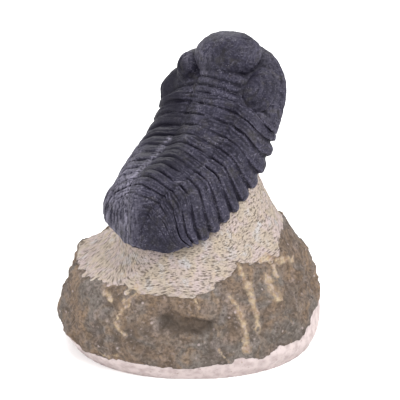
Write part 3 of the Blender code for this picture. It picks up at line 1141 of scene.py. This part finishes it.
@dataclass
class HeadShield:
    """Cheeks, glabella and the two rings behind it, fused into one skin.

    Lengths are in millimetres in the head's frame. Each lump has a middle and three radii.
    """

    backbone: Backbone
    half_width: float = 19.4
    length: float = 20.2
    drop: float = 12.4
    corner_sweep: float = 5.0
    cheek_sink: float = 2.3
    skew: float = 0.11
    voxel: float = 0.29
    grain: tuple[tuple[float, float], ...] = ((0.26, 4.0), (0.13, 1.4), (0.06, 0.6))
    bulge: float = 0.90
    lumps: tuple[tuple[Triple, Triple], ...] = (
        ((-1.3, 13.05, -3.9), (10.7, 7.3, 6.0)),
        ((-0.4, 6.3, -5.2), (8.4, 3.0, 4.9)),
        ((-0.2, 3.4, -5.0), (8.2, 2.1, 4.7)),
        ((0.0, 0.7, -5.2), (8.4, 2.0, 5.3)),
    )
    dusty_spots: tuple[Triple, ...] = ((3.8, 84.8, 2.6), (4.3, 79.3, 1.6))

    def swept(self, x: float) -> float:
        """How far the rear edge is swept back at a sideways place, in millimetres."""
        return self.corner_sweep * (abs(x) / self.half_width) ** 2.5

    def cheek_point(self, x: float, y: float) -> Vector:
        """Point of the cheeks in the head's frame.

        Args:
            x: sideways place in the unit half disc.
            y: headward place in the unit half disc.

        Returns:
            The point in metres.
        """
        out = min(math.hypot(x, y), 1.0)
        around = math.atan2(y, x)
        tilt = out * math.pi / 2
        px = self.half_width * math.sin(tilt) * math.cos(around)
        py = self.length * math.sin(tilt) * math.sin(around)
        pz = -self.drop * (1.0 - math.cos(tilt))
        pz -= 0.55 * hump(out, 0.84, 0.045) + self.cheek_sink * eased(1.0, 0.55, out)
        back = self.swept(px) * eased(9.0, 0.0, py)
        if px < 0.0:
            corner = eased(14.0, 3.0, py)
            px *= 1.0 + 0.24 * corner * (1.0 - 0.45 * eased(3.5, 0.0, py))
            pz += 3.0 * corner * eased(0.5, 1.0, out) * eased(0.0, 0.6, -x)
        return Vector((px, py - back, pz)) * MM

    def cheeks(self, bm: Mesh) -> None:
        """Adds the closed dome of the cheeks.

        Args:
            bm: mesh to add to.
        """
        made = bmesh.ops.create_grid(bm, x_segments=90, y_segments=50, size=1.0)
        verts = made["verts"]
        for vert in verts:
            u = vert.co.x
            v = (vert.co.y + 1.0) / 2.0
            x = u * math.sqrt(1.0 - v * v / 2.0)
            vert.co = self.cheek_point(x, v * math.sqrt(1.0 - u * u / 2.0))
        rim = [e for e in {e for v in verts for e in v.link_edges} if e.is_boundary]
        drawn = bmesh.ops.extrude_edge_only(bm, edges=rim)["geom"]
        skirt = [part for part in drawn if isinstance(part, bmesh.types.BMVert)]
        bmesh.ops.pointmerge(bm, verts=skirt, merge_co=Vector((0.0, 0.0, -self.drop)) * MM)

    def relief(self, at: Vector) -> float:
        """Furrows and grain of the head in millimetres, outward.

        Args:
            at: place in the head's frame in millimetres.

        Returns:
            The height.
        """
        across = abs(at.x)
        furrow = 0.55 * hump(at.y + self.swept(at.x), 2.7, 0.6)
        furrow *= eased(8.0, 9.5, across) * eased(18.5, 16.0, across)
        lobes = 0.0
        for start, slope in ((9.2, 0.20), (11.4, 0.05)):
            line = at.y - start - slope * (across - 4.0)
            lobes += 0.12 * hump(line, 0.0, 0.45) * eased(3.5, 6.5, across) * eased(10.5, 8.5, across)
        return rough(at, self.grain) - furrow - lobes

    def build(self, material: Material) -> Piece:
        """Makes the head shield.

        Args:
            material: its finish.

        Returns:
            The piece.
        """
        bm = bmesh.new()
        self.cheeks(bm)
        for centre, radii in self.lumps:
            made = bmesh.ops.create_uvsphere(bm, u_segments=64, v_segments=40, radius=1.0)
            for vert in made["verts"]:
                x, y, z = vert.co
                fuller = (*(math.copysign(abs(c) ** self.bulge, c) for c in (x, y)), z)
                vert.co = Vector(centre) + Vector(c * r for c, r in zip(fuller, radii))
                vert.co.y += self.skew * eased(7.0, 12.0, centre[1]) * x * radii[0]
                vert.co *= MM
        bmesh.ops.recalc_face_normals(bm, faces=bm.faces)
        bm = fused(bm, self.voxel * MM, 3)
        bm.normal_update()
        moves = [(v, v.normal * self.relief(v.co / MM) * MM) for v in bm.verts]
        for vert, move in moves:
            vert.co += move
        bmesh.ops.transform(bm, matrix=self.backbone.head_matrix(), verts=bm.verts)
        bmesh.ops.recalc_face_normals(bm, faces=bm.faces)
        store_ridges(bm, 2.2)
        DustAndPaintedLight(painted_sheen=0.14, spots=self.dusty_spots).store(bm)
        return finished_piece("trilobite_head_shield", bm, material)


@dataclass
class Eye:
    """Raised eye: a curved wall of lenses under a domed lid; lengths are in millimetres."""

    backbone: Backbone
    side: Side
    centre: Triple = (11.9, 4.7, -5.3)
    reach: tuple[float, float] = (3.8, 4.5)
    wall: float = 2.5
    lid: float = 1.0
    lens_pitch: float = 0.78
    lens_height: float = 0.10
    lens_radius: float = 0.46
    lid_share: float = 0.45
    lid_reach: float = 0.86
    columns: int = 220
    rows: int = 60
    dusty_spots: tuple[Triple, ...] = ()

    def profile(self, t: float, outward: float) -> tuple[float, float]:
        """Cut through the eye from the middle of the lid to its foot.

        Args:
            t: place along the cut, 0 at the middle and 1 at the foot.
            outward: 1 on the side of the lenses, 0 on the side of the glabella.

        Returns:
            Share of the reach, and height in millimetres over the foot.
        """
        if t < self.lid_share:
            out = t / self.lid_share
            dish = 0.35 * hump(out, 0.62, 0.16) * outward
            return self.lid_reach * out, self.wall + self.lid * (1.0 - out**2.2) - dish
        down = (t - self.lid_share) / (1.0 - self.lid_share)
        flare = self.lid_reach + 0.14 * math.sin(down * math.pi / 2) + 0.42 * eased(0.50, 1.0, down)
        slope = 1.25 * (1.0 - outward) * down
        return flare + slope * 0.30, self.wall * (1.0 - down**0.9) - 1.5 * eased(0.7, 1.0, down)

    def lens(self, around: float, down: float) -> float:
        """How far the lenses stand out of the wall, in millimetres.

        Args:
            around: direction from the middle of the eye.
            down: place on the wall, 0 at the lid and 1 at the foot.

        Returns:
            The height, 0 between the lenses.
        """
        row_step = 0.87
        along = around * 4.6 / self.lens_pitch
        level = down * self.wall / (self.lens_pitch * row_step)
        gaps = []
        for line in (math.floor(level), math.floor(level) + 1):
            offset = 0.5 * (line % 2)
            gap = along - offset - round(along - offset)
            gaps.append(math.hypot(gap, (level - line) * row_step))
        return self.lens_height * math.sqrt(max(1.0 - (min(gaps) / self.lens_radius) ** 2, 0.0))

    def build(self, material: Material) -> Piece:
        """Makes the eye.

        Args:
            material: its finish.

        Returns:
            The piece.
        """
        sign = self.side.value
        middle = Vector((self.centre[0] * sign, self.centre[1], self.centre[2]))

        def place(column: int, row: int) -> Vector:
            """Point of the eye.

            Args:
                column: number of the point round the eye.
                row: number of the point from the middle of the lid down.

            Returns:
                The point.
            """
            around = 2.0 * math.pi * (column % self.columns) / self.columns
            outward = eased(-0.85, 0.55, math.cos(around))
            share, height = self.profile(row / self.rows, outward)
            bean = 1.0 - 0.16 * hump(math.cos(around), -1.0, 0.7)
            x = self.reach[0] * share * math.cos(around) * bean
            y = self.reach[1] * share * math.sin(around)
            down = (row / self.rows - self.lid_share) / (1.0 - self.lid_share)
            if 0.08 < down < 0.80 and outward > 0.5:
                lens = self.lens(around, down)
                x += lens * math.cos(around)
                y += lens * math.sin(around)
            at = middle + Vector((x * sign, y, height))
            grain = 0.05 * noise.noise(at / 0.6)
            return (at + Vector((0.0, 0.0, grain))) * MM

        bm = wrapped_grid(self.columns, self.rows, place)
        bmesh.ops.transform(bm, matrix=self.backbone.head_matrix(), verts=bm.verts)
        bmesh.ops.recalc_face_normals(bm, faces=bm.faces)
        store_ridges(bm, 1.2)
        DustAndPaintedLight(painted_sheen=0.05, spots=self.dusty_spots).store(bm)
        return finished_piece(f"trilobite_eye_{self.side.name.lower()}", bm, material)


@dataclass(frozen=True)
class Chip:
    """Flat place where the stone broke.

    Attributes:
        azimuth: direction it faces, in degrees from the right, anticlockwise seen from above.
        elevation: how far it faces up, in degrees.
        reach: distance of the flat from the middle of the stone, in millimetres.
    """

    azimuth: float
    elevation: float
    reach: float

    def excess(self, at: Vector) -> float:
        """How far a point stands out of the flat, in millimetres."""
        return (at - STONE_MIDDLE).dot(self.facing()) - self.reach

    def facing(self) -> Vector:
        """Direction it faces.

        Returns:
            The unit vector.
        """
        level = math.radians(self.azimuth)
        rise = math.radians(self.elevation)
        flat = math.cos(rise)
        return Vector((math.cos(level) * flat, math.sin(level) * flat, math.sin(rise)))


@dataclass
class StoneBlock:
    """The limestone: base, leaning neck, and the filling under the front of the animal.

    Lengths are in millimetres. Curves of the base go by height, the two of the zones by direction
    in degrees, and each vein is a chain of x, z and half width on the front.

    Attributes:
        levels: heights of the rings of the base, up to the shoulder.
        neck_radius: distance from the middle that the tool strokes are measured round.
        neck_middle: height that they are measured from.
        foot: height below which the surface keeps its form.
        ground_off: height over the lowest point that is ground flat.
        prepared_from: height from which the stone is pale and tool-marked.
        rim_to: height up to which it is ground.
    """

    backbone: Backbone
    body: Carapace
    sides: int = 120
    voxel: float = 0.50
    levels: tuple[float, ...] = (0.0, 1.0, 2.5, 4.0, 6.0, 8.0, 10.0, 12.5, 15.0, 17.5, 20.0, 22.5, 25.0)
    neck_steps: int = 14
    neck_radius: float = 23.0
    neck_middle: float = 31.0
    stroke_length: float = 2.0
    stroke_width: float = 0.55
    foot: float = 0.6
    ground_off: float = 0.35
    centre_x: Curve = Curve(((0.0, 0.6), (2.5, 0.4), (6.0, 0.0), (20.0, 0.0), (25.0, 0.2)))
    centre_y: Curve = Curve(((0.0, 1.0), (15.0, 1.0), (20.0, 1.2), (25.0, 1.6)))
    half_x: Curve = Curve(
        ((0.0, 37.2), (2.5, 38.6), (6.0, 40.0), (10.0, 40.2), (15.0, 39.4), (20.0, 38.2), (25.0, 36.2))
    )
    half_y: Curve = Curve(
        ((0.0, 30.0), (2.5, 31.2), (6.0, 32.4), (10.0, 32.3), (15.0, 31.4), (20.0, 30.2), (25.0, 28.6))
    )
    margin_centre: Triple = (-1.2, -0.4, 46.6)
    margin_reach: Triple = (11.8, 16.2, 12.0)
    margin_half: float = 19.2
    top_centre: Triple = (-0.4, 0.6, 52.4)
    top_reach: Triple = (10.8, 14.8, 10.2)
    top_half: float = 14.5
    filling_stations: tuple[float, ...] = (
        *(3.2, 4.1, 5.0, 5.7, 6.4, 7.1, 7.8, 8.5, 9.2),
        *(9.8, 10.4, 11.0, 11.6, 12.3, 13.0, 13.6, 14.2, 14.6),
    )
    prepared_from: Curve = Curve(
        (
            (-180.0, 24.8), (-165.0, 25.0), (-150.0, 26.0), (-138.0, 26.2), (-125.0, 25.8),
            (-115.0, 25.9), (-105.0, 25.6), (-97.0, 25.7), (-90.0, 26.0), (-80.0, 27.2),
            (-70.0, 29.6), (-62.0, 31.0), (-56.0, 34.2), (-46.0, 33.0), (-35.0, 31.8),
            (-15.0, 37.0), (20.0, 37.0), (80.0, 35.0), (125.0, 30.5), (152.0, 25.4), (180.0, 24.8),
        )
    )
    rim_to: Curve = Curve(
        (
            (-180.0, 6.0), (-165.0, 5.6), (-157.0, 4.7), (-143.0, 4.0), (-125.0, 5.5),
            (-107.0, 5.0), (-96.0, 4.8), (-85.0, 5.0), (-77.0, 6.1), (-69.0, 5.9), (-65.0, 7.9),
            (-60.0, 7.2), (-51.0, 6.2), (-43.5, 8.0), (-35.0, 7.8), (-22.0, 8.6), (-12.0, 10.2),
            (5.0, 11.4), (30.0, 8.0), (60.0, 5.4), (130.0, 6.4), (180.0, 6.0),
        )
    )
    chips: tuple[Chip, ...] = (
        Chip(180.0, 23.6, 35.6), Chip(-158.0, 14.0, 36.4), Chip(-130.0, 24.0, 33.4),
        Chip(-100.0, 30.0, 30.6), Chip(-72.0, 14.0, 30.4), Chip(-50.0, 28.0, 32.6),
        Chip(-20.0, 8.0, 36.4), Chip(8.0, 24.0, 37.4), Chip(38.0, 12.0, 35.0),
        Chip(70.0, 22.0, 31.6), Chip(104.0, 10.0, 31.0), Chip(135.0, 24.0, 33.0),
        Chip(166.0, 12.0, 37.0),
    )
    veins: tuple[tuple[Triple, ...], ...] = (
        (
            (14.4, 33.0, 0.9), (15.9, 28.9, 1.1), (17.4, 26.5, 1.5), (18.6, 23.4, 1.2),
            (20.1, 19.0, 1.0), (20.1, 15.0, 0.9),
        ),
        (
            (11.1, 25.6, 0.5), (13.8, 22.9, 0.8), (15.3, 19.6, 1.1), (16.2, 15.7, 0.8),
            (17.1, 10.7, 1.3), (16.5, 9.0, 0.7),
        ),
        ((22.5, 28.9, 0.8), (24.6, 26.6, 1.6), (26.4, 22.3, 1.1)),
        ((23.4, 32.1, 0.6), (24.9, 29.9, 0.6), (26.4, 27.7, 0.5)),
        ((20.4, 33.0, 0.6), (23.4, 33.2, 0.8), (26.4, 31.6, 0.8), (30.6, 30.4, 0.6)),
        ((-15.6, 26.8, 0.9), (-18.0, 24.1, 0.8), (-19.8, 21.0, 0.7), (-21.3, 18.0, 0.6)),
        ((-21.6, 16.6, 0.9), (-18.9, 14.4, 0.8)),
        ((-24.6, 24.6, 1.1), (-23.4, 23.6, 1.1)),
        ((1.5, 25.9, 0.4), (2.4, 23.0, 0.4)),
        ((8.4, 11.3, 0.4), (11.4, 6.4, 0.4)),
        ((-27.0, 5.0, 0.4), (-21.0, 7.3, 0.4)),
    )

    @staticmethod
    def oval(angle: float, half_x: float, half_y: float, power: float) -> tuple[float, float]:
        """Point of a squarish oval.

        Args:
            angle: angle of the point.
            half_x: half width.
            half_y: half depth.
            power: 2 for an ellipse, more for a squarer one.

        Returns:
            The two coordinates.
        """
        across = math.cos(angle)
        along = math.sin(angle)
        x = math.copysign(abs(across) ** (2.0 / power), across) * half_x
        return x, math.copysign(abs(along) ** (2.0 / power), along) * half_y

    @staticmethod
    def outward(angle: float) -> Vector:
        """Level unit vector in a direction in radians."""
        return Vector((math.cos(angle), math.sin(angle), 0.0))

    @staticmethod
    def azimuth(at: Vector) -> float:
        """Direction of a place in millimetres from the middle of the stone, in radians."""
        return math.atan2(at.y - STONE_MIDDLE.y, at.x - STONE_MIDDLE.x)

    @staticmethod
    def rock(at: Vector, size: float, depth: float) -> float:
        """Irregular broken-stone offset.

        Args:
            at: place in millimetres.
            size: size of the lumps in millimetres.
            depth: depth of the relief.

        Returns:
            The offset.
        """
        spot = at / size
        return depth * (noise.noise(spot) + 0.5 * noise.noise(spot * 2.3 + Vector((4.0, 1.0, 7.0))))

    def ring_point(self, angle: float, height: float) -> Vector:
        """Point of the base below the shoulder, in millimetres.

        Args:
            angle: direction from the middle.
            height: height over the ground.

        Returns:
            The point.
        """
        x, y = self.oval(angle, self.half_x.at(height), self.half_y.at(height), 2.15)
        point = Vector((self.centre_x.at(height) + x, self.centre_y.at(height) + y, height))
        lumps = self.rock(point, 14.0, 1.6 * eased(4.0, 12.0, height))
        return point + self.outward(angle) * lumps

    def section_point(
        self, angle: float, centre: Triple, reach: Triple, oval: tuple[float, float]
    ) -> Vector:
        """Point of a slanting section of the neck, in millimetres.

        Args:
            angle: direction from the middle.
            centre: middle of the section.
            reach: its half length as a vector along the animal.
            oval: its half width across the animal, and the power of its outline.

        Returns:
            The point.
        """
        half, power = oval
        turned = angle + math.radians(self.backbone.heading_deg)
        across, along = self.oval(turned, half, 1.0, power)
        return Vector(centre) + self.backbone.side * across + Vector(reach) * along

    def neck_point(self, angle: float, t: float) -> Vector:
        """Point of the neck, in millimetres.

        Args:
            angle: direction from the middle.
            t: 0 at the shoulder and 1 at the margin of the animal.

        Returns:
            The point.
        """
        low = self.ring_point(angle, self.levels[-1])
        high = self.section_point(angle, self.margin_centre, self.margin_reach, (self.margin_half, 2.5))
        point = low.lerp(high, t)
        out = self.outward(angle)
        waist = 4.2 + 3.0 * math.sin(angle - 0.5) - 2.2 * max(math.cos(angle + 0.25), 0.0) ** 4
        point -= out * waist * 4.0 * t * (1.0 - t)
        return point + out * self.rock(point, 12.0, 0.9 * (1.0 - t))

    def top_point(self, angle: float) -> Vector:
        """Point of the top of the neck, inside the animal, in millimetres."""
        return self.section_point(angle, self.top_centre, self.top_reach, (self.top_half, 2.3))

    def base_form(self) -> Mesh:
        """Base and neck as one closed form.

        Returns:
            The mesh.
        """
        count = len(self.levels)

        def place(column: int, row: int) -> Vector:
            """Point of the stone.

            Args:
                column: number of the point round the stone.
                row: number of its level from the ground up.

            Returns:
                The point.
            """
            angle = 2.0 * math.pi * (column % self.sides) / self.sides
            if row < count:
                return self.ring_point(angle, self.levels[row]) * MM
            step = row - count + 1
            if step <= self.neck_steps:
                return self.neck_point(angle, step / self.neck_steps) * MM
            return self.top_point(angle) * MM

        return wrapped_grid(self.sides, count + self.neck_steps, place)

    def filling_ring(self, station: float, around: int) -> list[Vector]:
        """Section of the stone under the shell.

        Args:
            station: place in segments; past the last segment it lies under the head.
            around: number of its points.

        Returns:
            The points in metres, in order round the section.
        """
        last = float(self.backbone.segments)
        point, ahead, above = self.backbone.frame_at(min(station, last))
        over = max(station - last, 0.0)
        hold = 1.0
        if over > 0.0:
            ahead, above = self.backbone.directions(self.backbone.head_pitch_deg)
            hold = 0.5
        point = point + ahead * over * self.backbone.segment_pitch
        closing = 1.0 - 0.62 * (over / 4.0) ** 2.2
        half = (self.body.half_width.at(station) - 2.6) * 0.95 * closing
        roof = -5.6 - 1.6 * (over / 4.0) ** 2
        base = -self.body.drop.at(station) * (1.0 - 0.06 * min(over, 1.0))
        low = base + 1.3 - 4.2 * eased(9.0, 6.0, station) - 1.6 * eased(11.0, 12.0, station)
        ring = []
        for i in range(around):
            angle = 2.0 * math.pi * i / around
            x = -half * math.copysign(abs(math.cos(angle)) ** 0.8, math.cos(angle))
            rise = math.sin(angle)
            z = base + (roof - base) * rise**0.7 if rise > 0.0 else low + 1.1 * rise
            back = self.body.sweep.at(station) * eased(0.35, 1.0, abs(x) / half) * hold
            spot = self.backbone.side * x + above * max(z, low - 1.1) - ahead * back
            ring.append(point + spot * MM)
        return ring

    def filling(self) -> Mesh:
        """Stone under the shell of the front half as one closed form.

        Returns:
            The mesh.
        """
        around = 26
        sections = [self.filling_ring(station, around) for station in self.filling_stations]

        def place(column: int, row: int) -> Vector:
            """Point of a section by its number in the ring and the number of the section."""
            return sections[row][column % around]

        return wrapped_grid(around, len(sections) - 1, place)

    def vein(self, at: Vector) -> float:
        """Strength of the nearest cream vein.

        Args:
            at: place in millimetres; only the front has veins.

        Returns:
            The strength, from 0 to 1.
        """
        if at.y > 4.0:
            return 0.0
        wander = rough(at, ((0.9, 3.0), (0.9, 1.1)))
        best = 0.0
        for line in self.veins:
            for (x0, z0, w0), (x1, z1, w1) in zip(line, line[1:]):
                along = Vector((x1 - x0, z1 - z0))
                spot = Vector((at.x - x0 + wander, at.z - z0 - wander))
                t = min(max(spot.dot(along) / along.length_squared, 0.0), 1.0)
                width = w0 + (w1 - w0) * t
                best = max(best, hump((spot - along * t).length, 0.0, 1.15 * width))
        return best

    def flow(self, at: Vector) -> Triple:
        """Coordinates along and across the tool strokes.

        Args:
            at: place in millimetres.

        Returns:
            Distance along, across and out, scaled so that one stroke is about one unit each way.
        """
        angle = self.azimuth(at)
        if angle > math.radians(100.0):
            angle -= 2.0 * math.pi
        pivot = math.radians(-137.0 if angle < math.radians(-92.0) else -60.0)
        along = (angle - pivot) * self.neck_radius
        across = at.z - self.neck_middle
        turn = math.radians(58.0) * eased(math.radians(-96.0), math.radians(-165.0), angle)
        turn *= eased(math.radians(-250.0), math.radians(-190.0), angle)
        turn -= math.radians(18.0) * eased(math.radians(-80.0), math.radians(-40.0), angle)
        ahead = pivot * self.neck_radius + along * math.cos(turn) - across * math.sin(turn)
        aside = along * math.sin(turn) + across * math.cos(turn)
        return ahead / self.stroke_length, aside / self.stroke_width, math.hypot(at.x, at.y) / 6.0

    def dent(self, at: Vector) -> float:
        """How deep a place lies in the hollow in the front.

        Args:
            at: place in millimetres.

        Returns:
            The share of the full depth, from 0 to 1.
        """
        sway = 0.08 * at.x + 1.6 * noise.noise(at / 4.0)
        wide = eased(-18.0, -24.0, at.y) * eased(-10.5, -7.5, at.x) * eased(8.5, 6.0, at.x)
        return wide * eased(3.0, 1.5, abs(at.z + sway - 18.2))

    def zones(self, at: Vector, flow: Vector) -> dict[Zone, float]:
        """Strength of each surface zone.

        Args:
            at: place in millimetres.
            flow: coordinates along and across the tool strokes there.

        Returns:
            The strengths, from 0 to 1.
        """
        angle = math.degrees(self.azimuth(at))
        tooth = 0.9 * noise.noise(flow * 0.8) + 1.1 * noise.noise(at / 3.2)
        jag = rough(at, ((0.6, 2.6), (0.4, 0.9)))
        rim = eased(0.35, -0.35, at.z - self.rim_to.at(angle) + jag)
        return {
            Zone.PREPARED: eased(-0.5, 0.5, at.z - self.prepared_from.at(angle) + tooth),
            Zone.RIM: rim,
            Zone.VEIN: self.vein(at) * (1.0 - rim),
            Zone.STAIN: self.dent(at),
        }

    def relief(self, at: Vector, flow: Vector, zones: dict[Zone, float]) -> float:
        """Relief of the surface in millimetres, outward.

        Args:
            at: place in millimetres.
            flow: coordinates along and across the tool strokes there.
            zones: strength of each zone there.

        Returns:
            The height.
        """
        prepared = zones[Zone.PREPARED]
        skin = (1.0 - prepared) * (1.0 - zones[Zone.RIM])
        crag = 2.2 * (0.30 - abs(noise.noise(at / 7.5))) + 1.1 * (0.26 - abs(noise.noise(at / 3.1)))
        bumps = crag + rough(at, ((0.24, 1.4), (0.16, 0.7)))
        marks = 0.16 * noise.noise(flow) + 0.18 * noise.noise(at / 1.6)
        height = skin * (bumps - 0.20) - prepared * 0.45 + prepared * marks
        return height - 1.6 * zones[Zone.STAIN] + 0.15 * zones[Zone.VEIN] * skin

    def chipped(self, at: Vector) -> Vector:
        """Move that takes a place back to the flats that it stands out of.

        Args:
            at: place in millimetres.

        Returns:
            The move in millimetres.
        """
        move = Vector()
        hold = 0.85 * eased(2.0, 7.0, at.z) * eased(40.0, 32.0, at.z)
        for chip in self.chips:
            move -= chip.facing() * max(chip.excess(at), 0.0) * hold
        return move

    def shape(self, bm: Mesh) -> None:
        """Gives the fused stone its flats, skin, tool marks and rim, and stores the zones.

        Args:
            bm: mesh of the stone in the layout frame.
        """
        layers = {zone: bm.verts.layers.float.new(zone.value) for zone in Zone}
        flow_layer = bm.verts.layers.float_vector.new("flow")
        bm.normal_update()
        for vert in bm.verts:
            at = vert.co / MM
            flow = Vector(self.flow(at))
            zones = self.zones(at, flow)
            vert[flow_layer] = flow
            for zone, value in zones.items():
                vert[layers[zone]] = value
            if at.z >= self.foot:
                out = vert.normal * self.relief(at, flow, zones) * eased(self.foot, 2.0, at.z)
                vert.co += (self.chipped(at) + out) * MM
        self.level(bm)

    def level(self, bm: Mesh) -> None:
        """Flattens the foot, and keeps the stone inside the box of its solid.

        Args:
            bm: mesh of the stone in the layout frame.
        """
        lowest = min(v.co.z for v in bm.verts)
        low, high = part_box("matrix")
        inside = 0.02 * MM
        for vert in bm.verts:
            for axis in (0, 1):
                at = vert.co[axis] + ORIGIN_SHIFT[axis]
                vert.co[axis] += min(max(at, low[axis] + inside), high[axis] - inside) - at
            if vert.co.z < lowest + self.ground_off * MM:
                vert.co.z = 0.0

    def build(self, material: Material) -> Piece:
        """Makes the stone.

        Args:
            material: its finish.

        Returns:
            The piece.
        """
        bm = self.base_form()
        more = self.filling()
        mesh = bpy.data.meshes.new("filling")
        more.to_mesh(mesh)
        more.free()
        bm.from_mesh(mesh)
        bpy.data.meshes.remove(mesh)
        bm = fused(bm, self.voxel * MM, 4)
        self.shape(bm)
        bmesh.ops.recalc_face_normals(bm, faces=bm.faces)
        return finished_piece("limestone_matrix", bm, material)


@dataclass(frozen=True)
class Lamp:
    """Soft square light that faces the object.

    Attributes:
        name: name of the light.
        place: where it stands, in metres.
        size: width of its face, in metres.
        power: strength in watts.
    """

    name: str
    place: Triple
    size: float
    power: float

    def build(self, target: Vector) -> Piece:
        """Makes the light.

        Args:
            target: point that it faces, in metres.

        Returns:
            The light.
        """
        lamp = bpy.data.lights.new(self.name, "AREA")
        lamp.size = self.size
        lamp.energy = self.power
        lit = bpy.data.objects.new(self.name, lamp)
        lit.location = self.place
        lit.rotation_euler = (Vector(self.place) - target).to_track_quat("Z", "Y").to_euler()
        bpy.context.scene.collection.objects.link(lit)
        return lit


@dataclass
class Studio:
    """Pale floor, soft lights and the camera at the photograph's viewing angle."""

    target_mm: Triple = (3.45, 0.65, 43.87)
    elevation_deg: float = 25.0
    distance: float = 0.520
    lens: float = 156.0
    sensor: float = 36.0
    floor_colour: Triple = (0.93, 0.93, 0.93)
    sky_strength: float = 0.85
    lit_point: Triple = (0.0, 0.0, 0.045)
    lamps: tuple[Lamp, ...] = (
        Lamp("key light", (0.40, -0.33, 0.62), 0.45, 6.3),
        Lamp("fill light", (-0.50, -0.40, 0.45), 0.50, 3.2),
        Lamp("back light", (-0.15, 0.55, 0.55), 0.45, 4.5),
    )

    def floor(self) -> Piece:
        """Makes the floor.

        Returns:
            The floor.
        """
        bm = bmesh.new()
        bmesh.ops.create_grid(bm, x_segments=4, y_segments=4, size=3.0)
        mesh = bpy.data.meshes.new("floor")
        bm.to_mesh(mesh)
        bm.free()
        chart = Chart.named("pale floor")
        chart.feed(chart.shader.inputs["Base Color"], self.floor_colour)
        chart.shader.inputs["Roughness"].default_value = 0.9
        mesh.materials.append(chart.material)
        floor = bpy.data.objects.new("floor", mesh)
        bpy.context.scene.collection.objects.link(floor)
        return floor

    def camera(self) -> Piece:
        """Makes the scene's camera.

        Returns:
            The camera.
        """
        data = bpy.data.cameras.new("camera")
        data.lens = self.lens
        data.sensor_width = self.sensor
        data.clip_start = 0.01
        camera = bpy.data.objects.new("camera", data)
        tilt = math.radians(self.elevation_deg)
        back = Vector((0.0, -math.cos(tilt), math.sin(tilt)))
        camera.location = Vector(self.target_mm) * MM + back * self.distance
        camera.rotation_euler = (math.pi / 2 - tilt, 0.0, 0.0)
        bpy.context.scene.collection.objects.link(camera)
        bpy.context.scene.camera = camera
        return camera

    def build(self) -> None:
        """Makes floor, lights, sky and camera."""
        self.floor()
        for lamp in self.lamps:
            lamp.build(Vector(self.lit_point))
        world = bpy.data.worlds.new("studio")
        world.use_nodes = True
        sky = world.node_tree.nodes["Background"]
        sky.inputs["Color"].default_value = (1.0, 1.0, 1.0, 1.0)
        sky.inputs["Strength"].default_value = self.sky_strength
        bpy.context.scene.world = world
        bpy.context.scene.view_settings.view_transform = "Standard"
        self.camera()


def main() -> None:
    """Builds the animal, the stone and the studio in order."""
    logging.basicConfig(level=logging.INFO, format="%(message)s")
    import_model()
    backbone = Backbone()
    calcite = CalciteFinish().build()
    limestone = LimestoneFinish().build()
    body = Carapace(backbone)
    shell = body.build(calcite)
    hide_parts("trilobite")
    HeadShield(backbone).build(calcite)
    Eye(backbone, Side.RIGHT).build(calcite)
    far_eye = Eye(
        backbone,
        Side.LEFT,
        centre=(13.4, 7.2, -5.2),
        reach=(3.4, 4.3),
        wall=3.1,
        dusty_spots=((-1.0, 81.6, 1.8),),
    )
    far_eye.build(calcite)
    stone = StoneBlock(backbone, body).build(limestone)
    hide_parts("matrix")
    Studio().build()


if __name__ == "__main__":
    main()
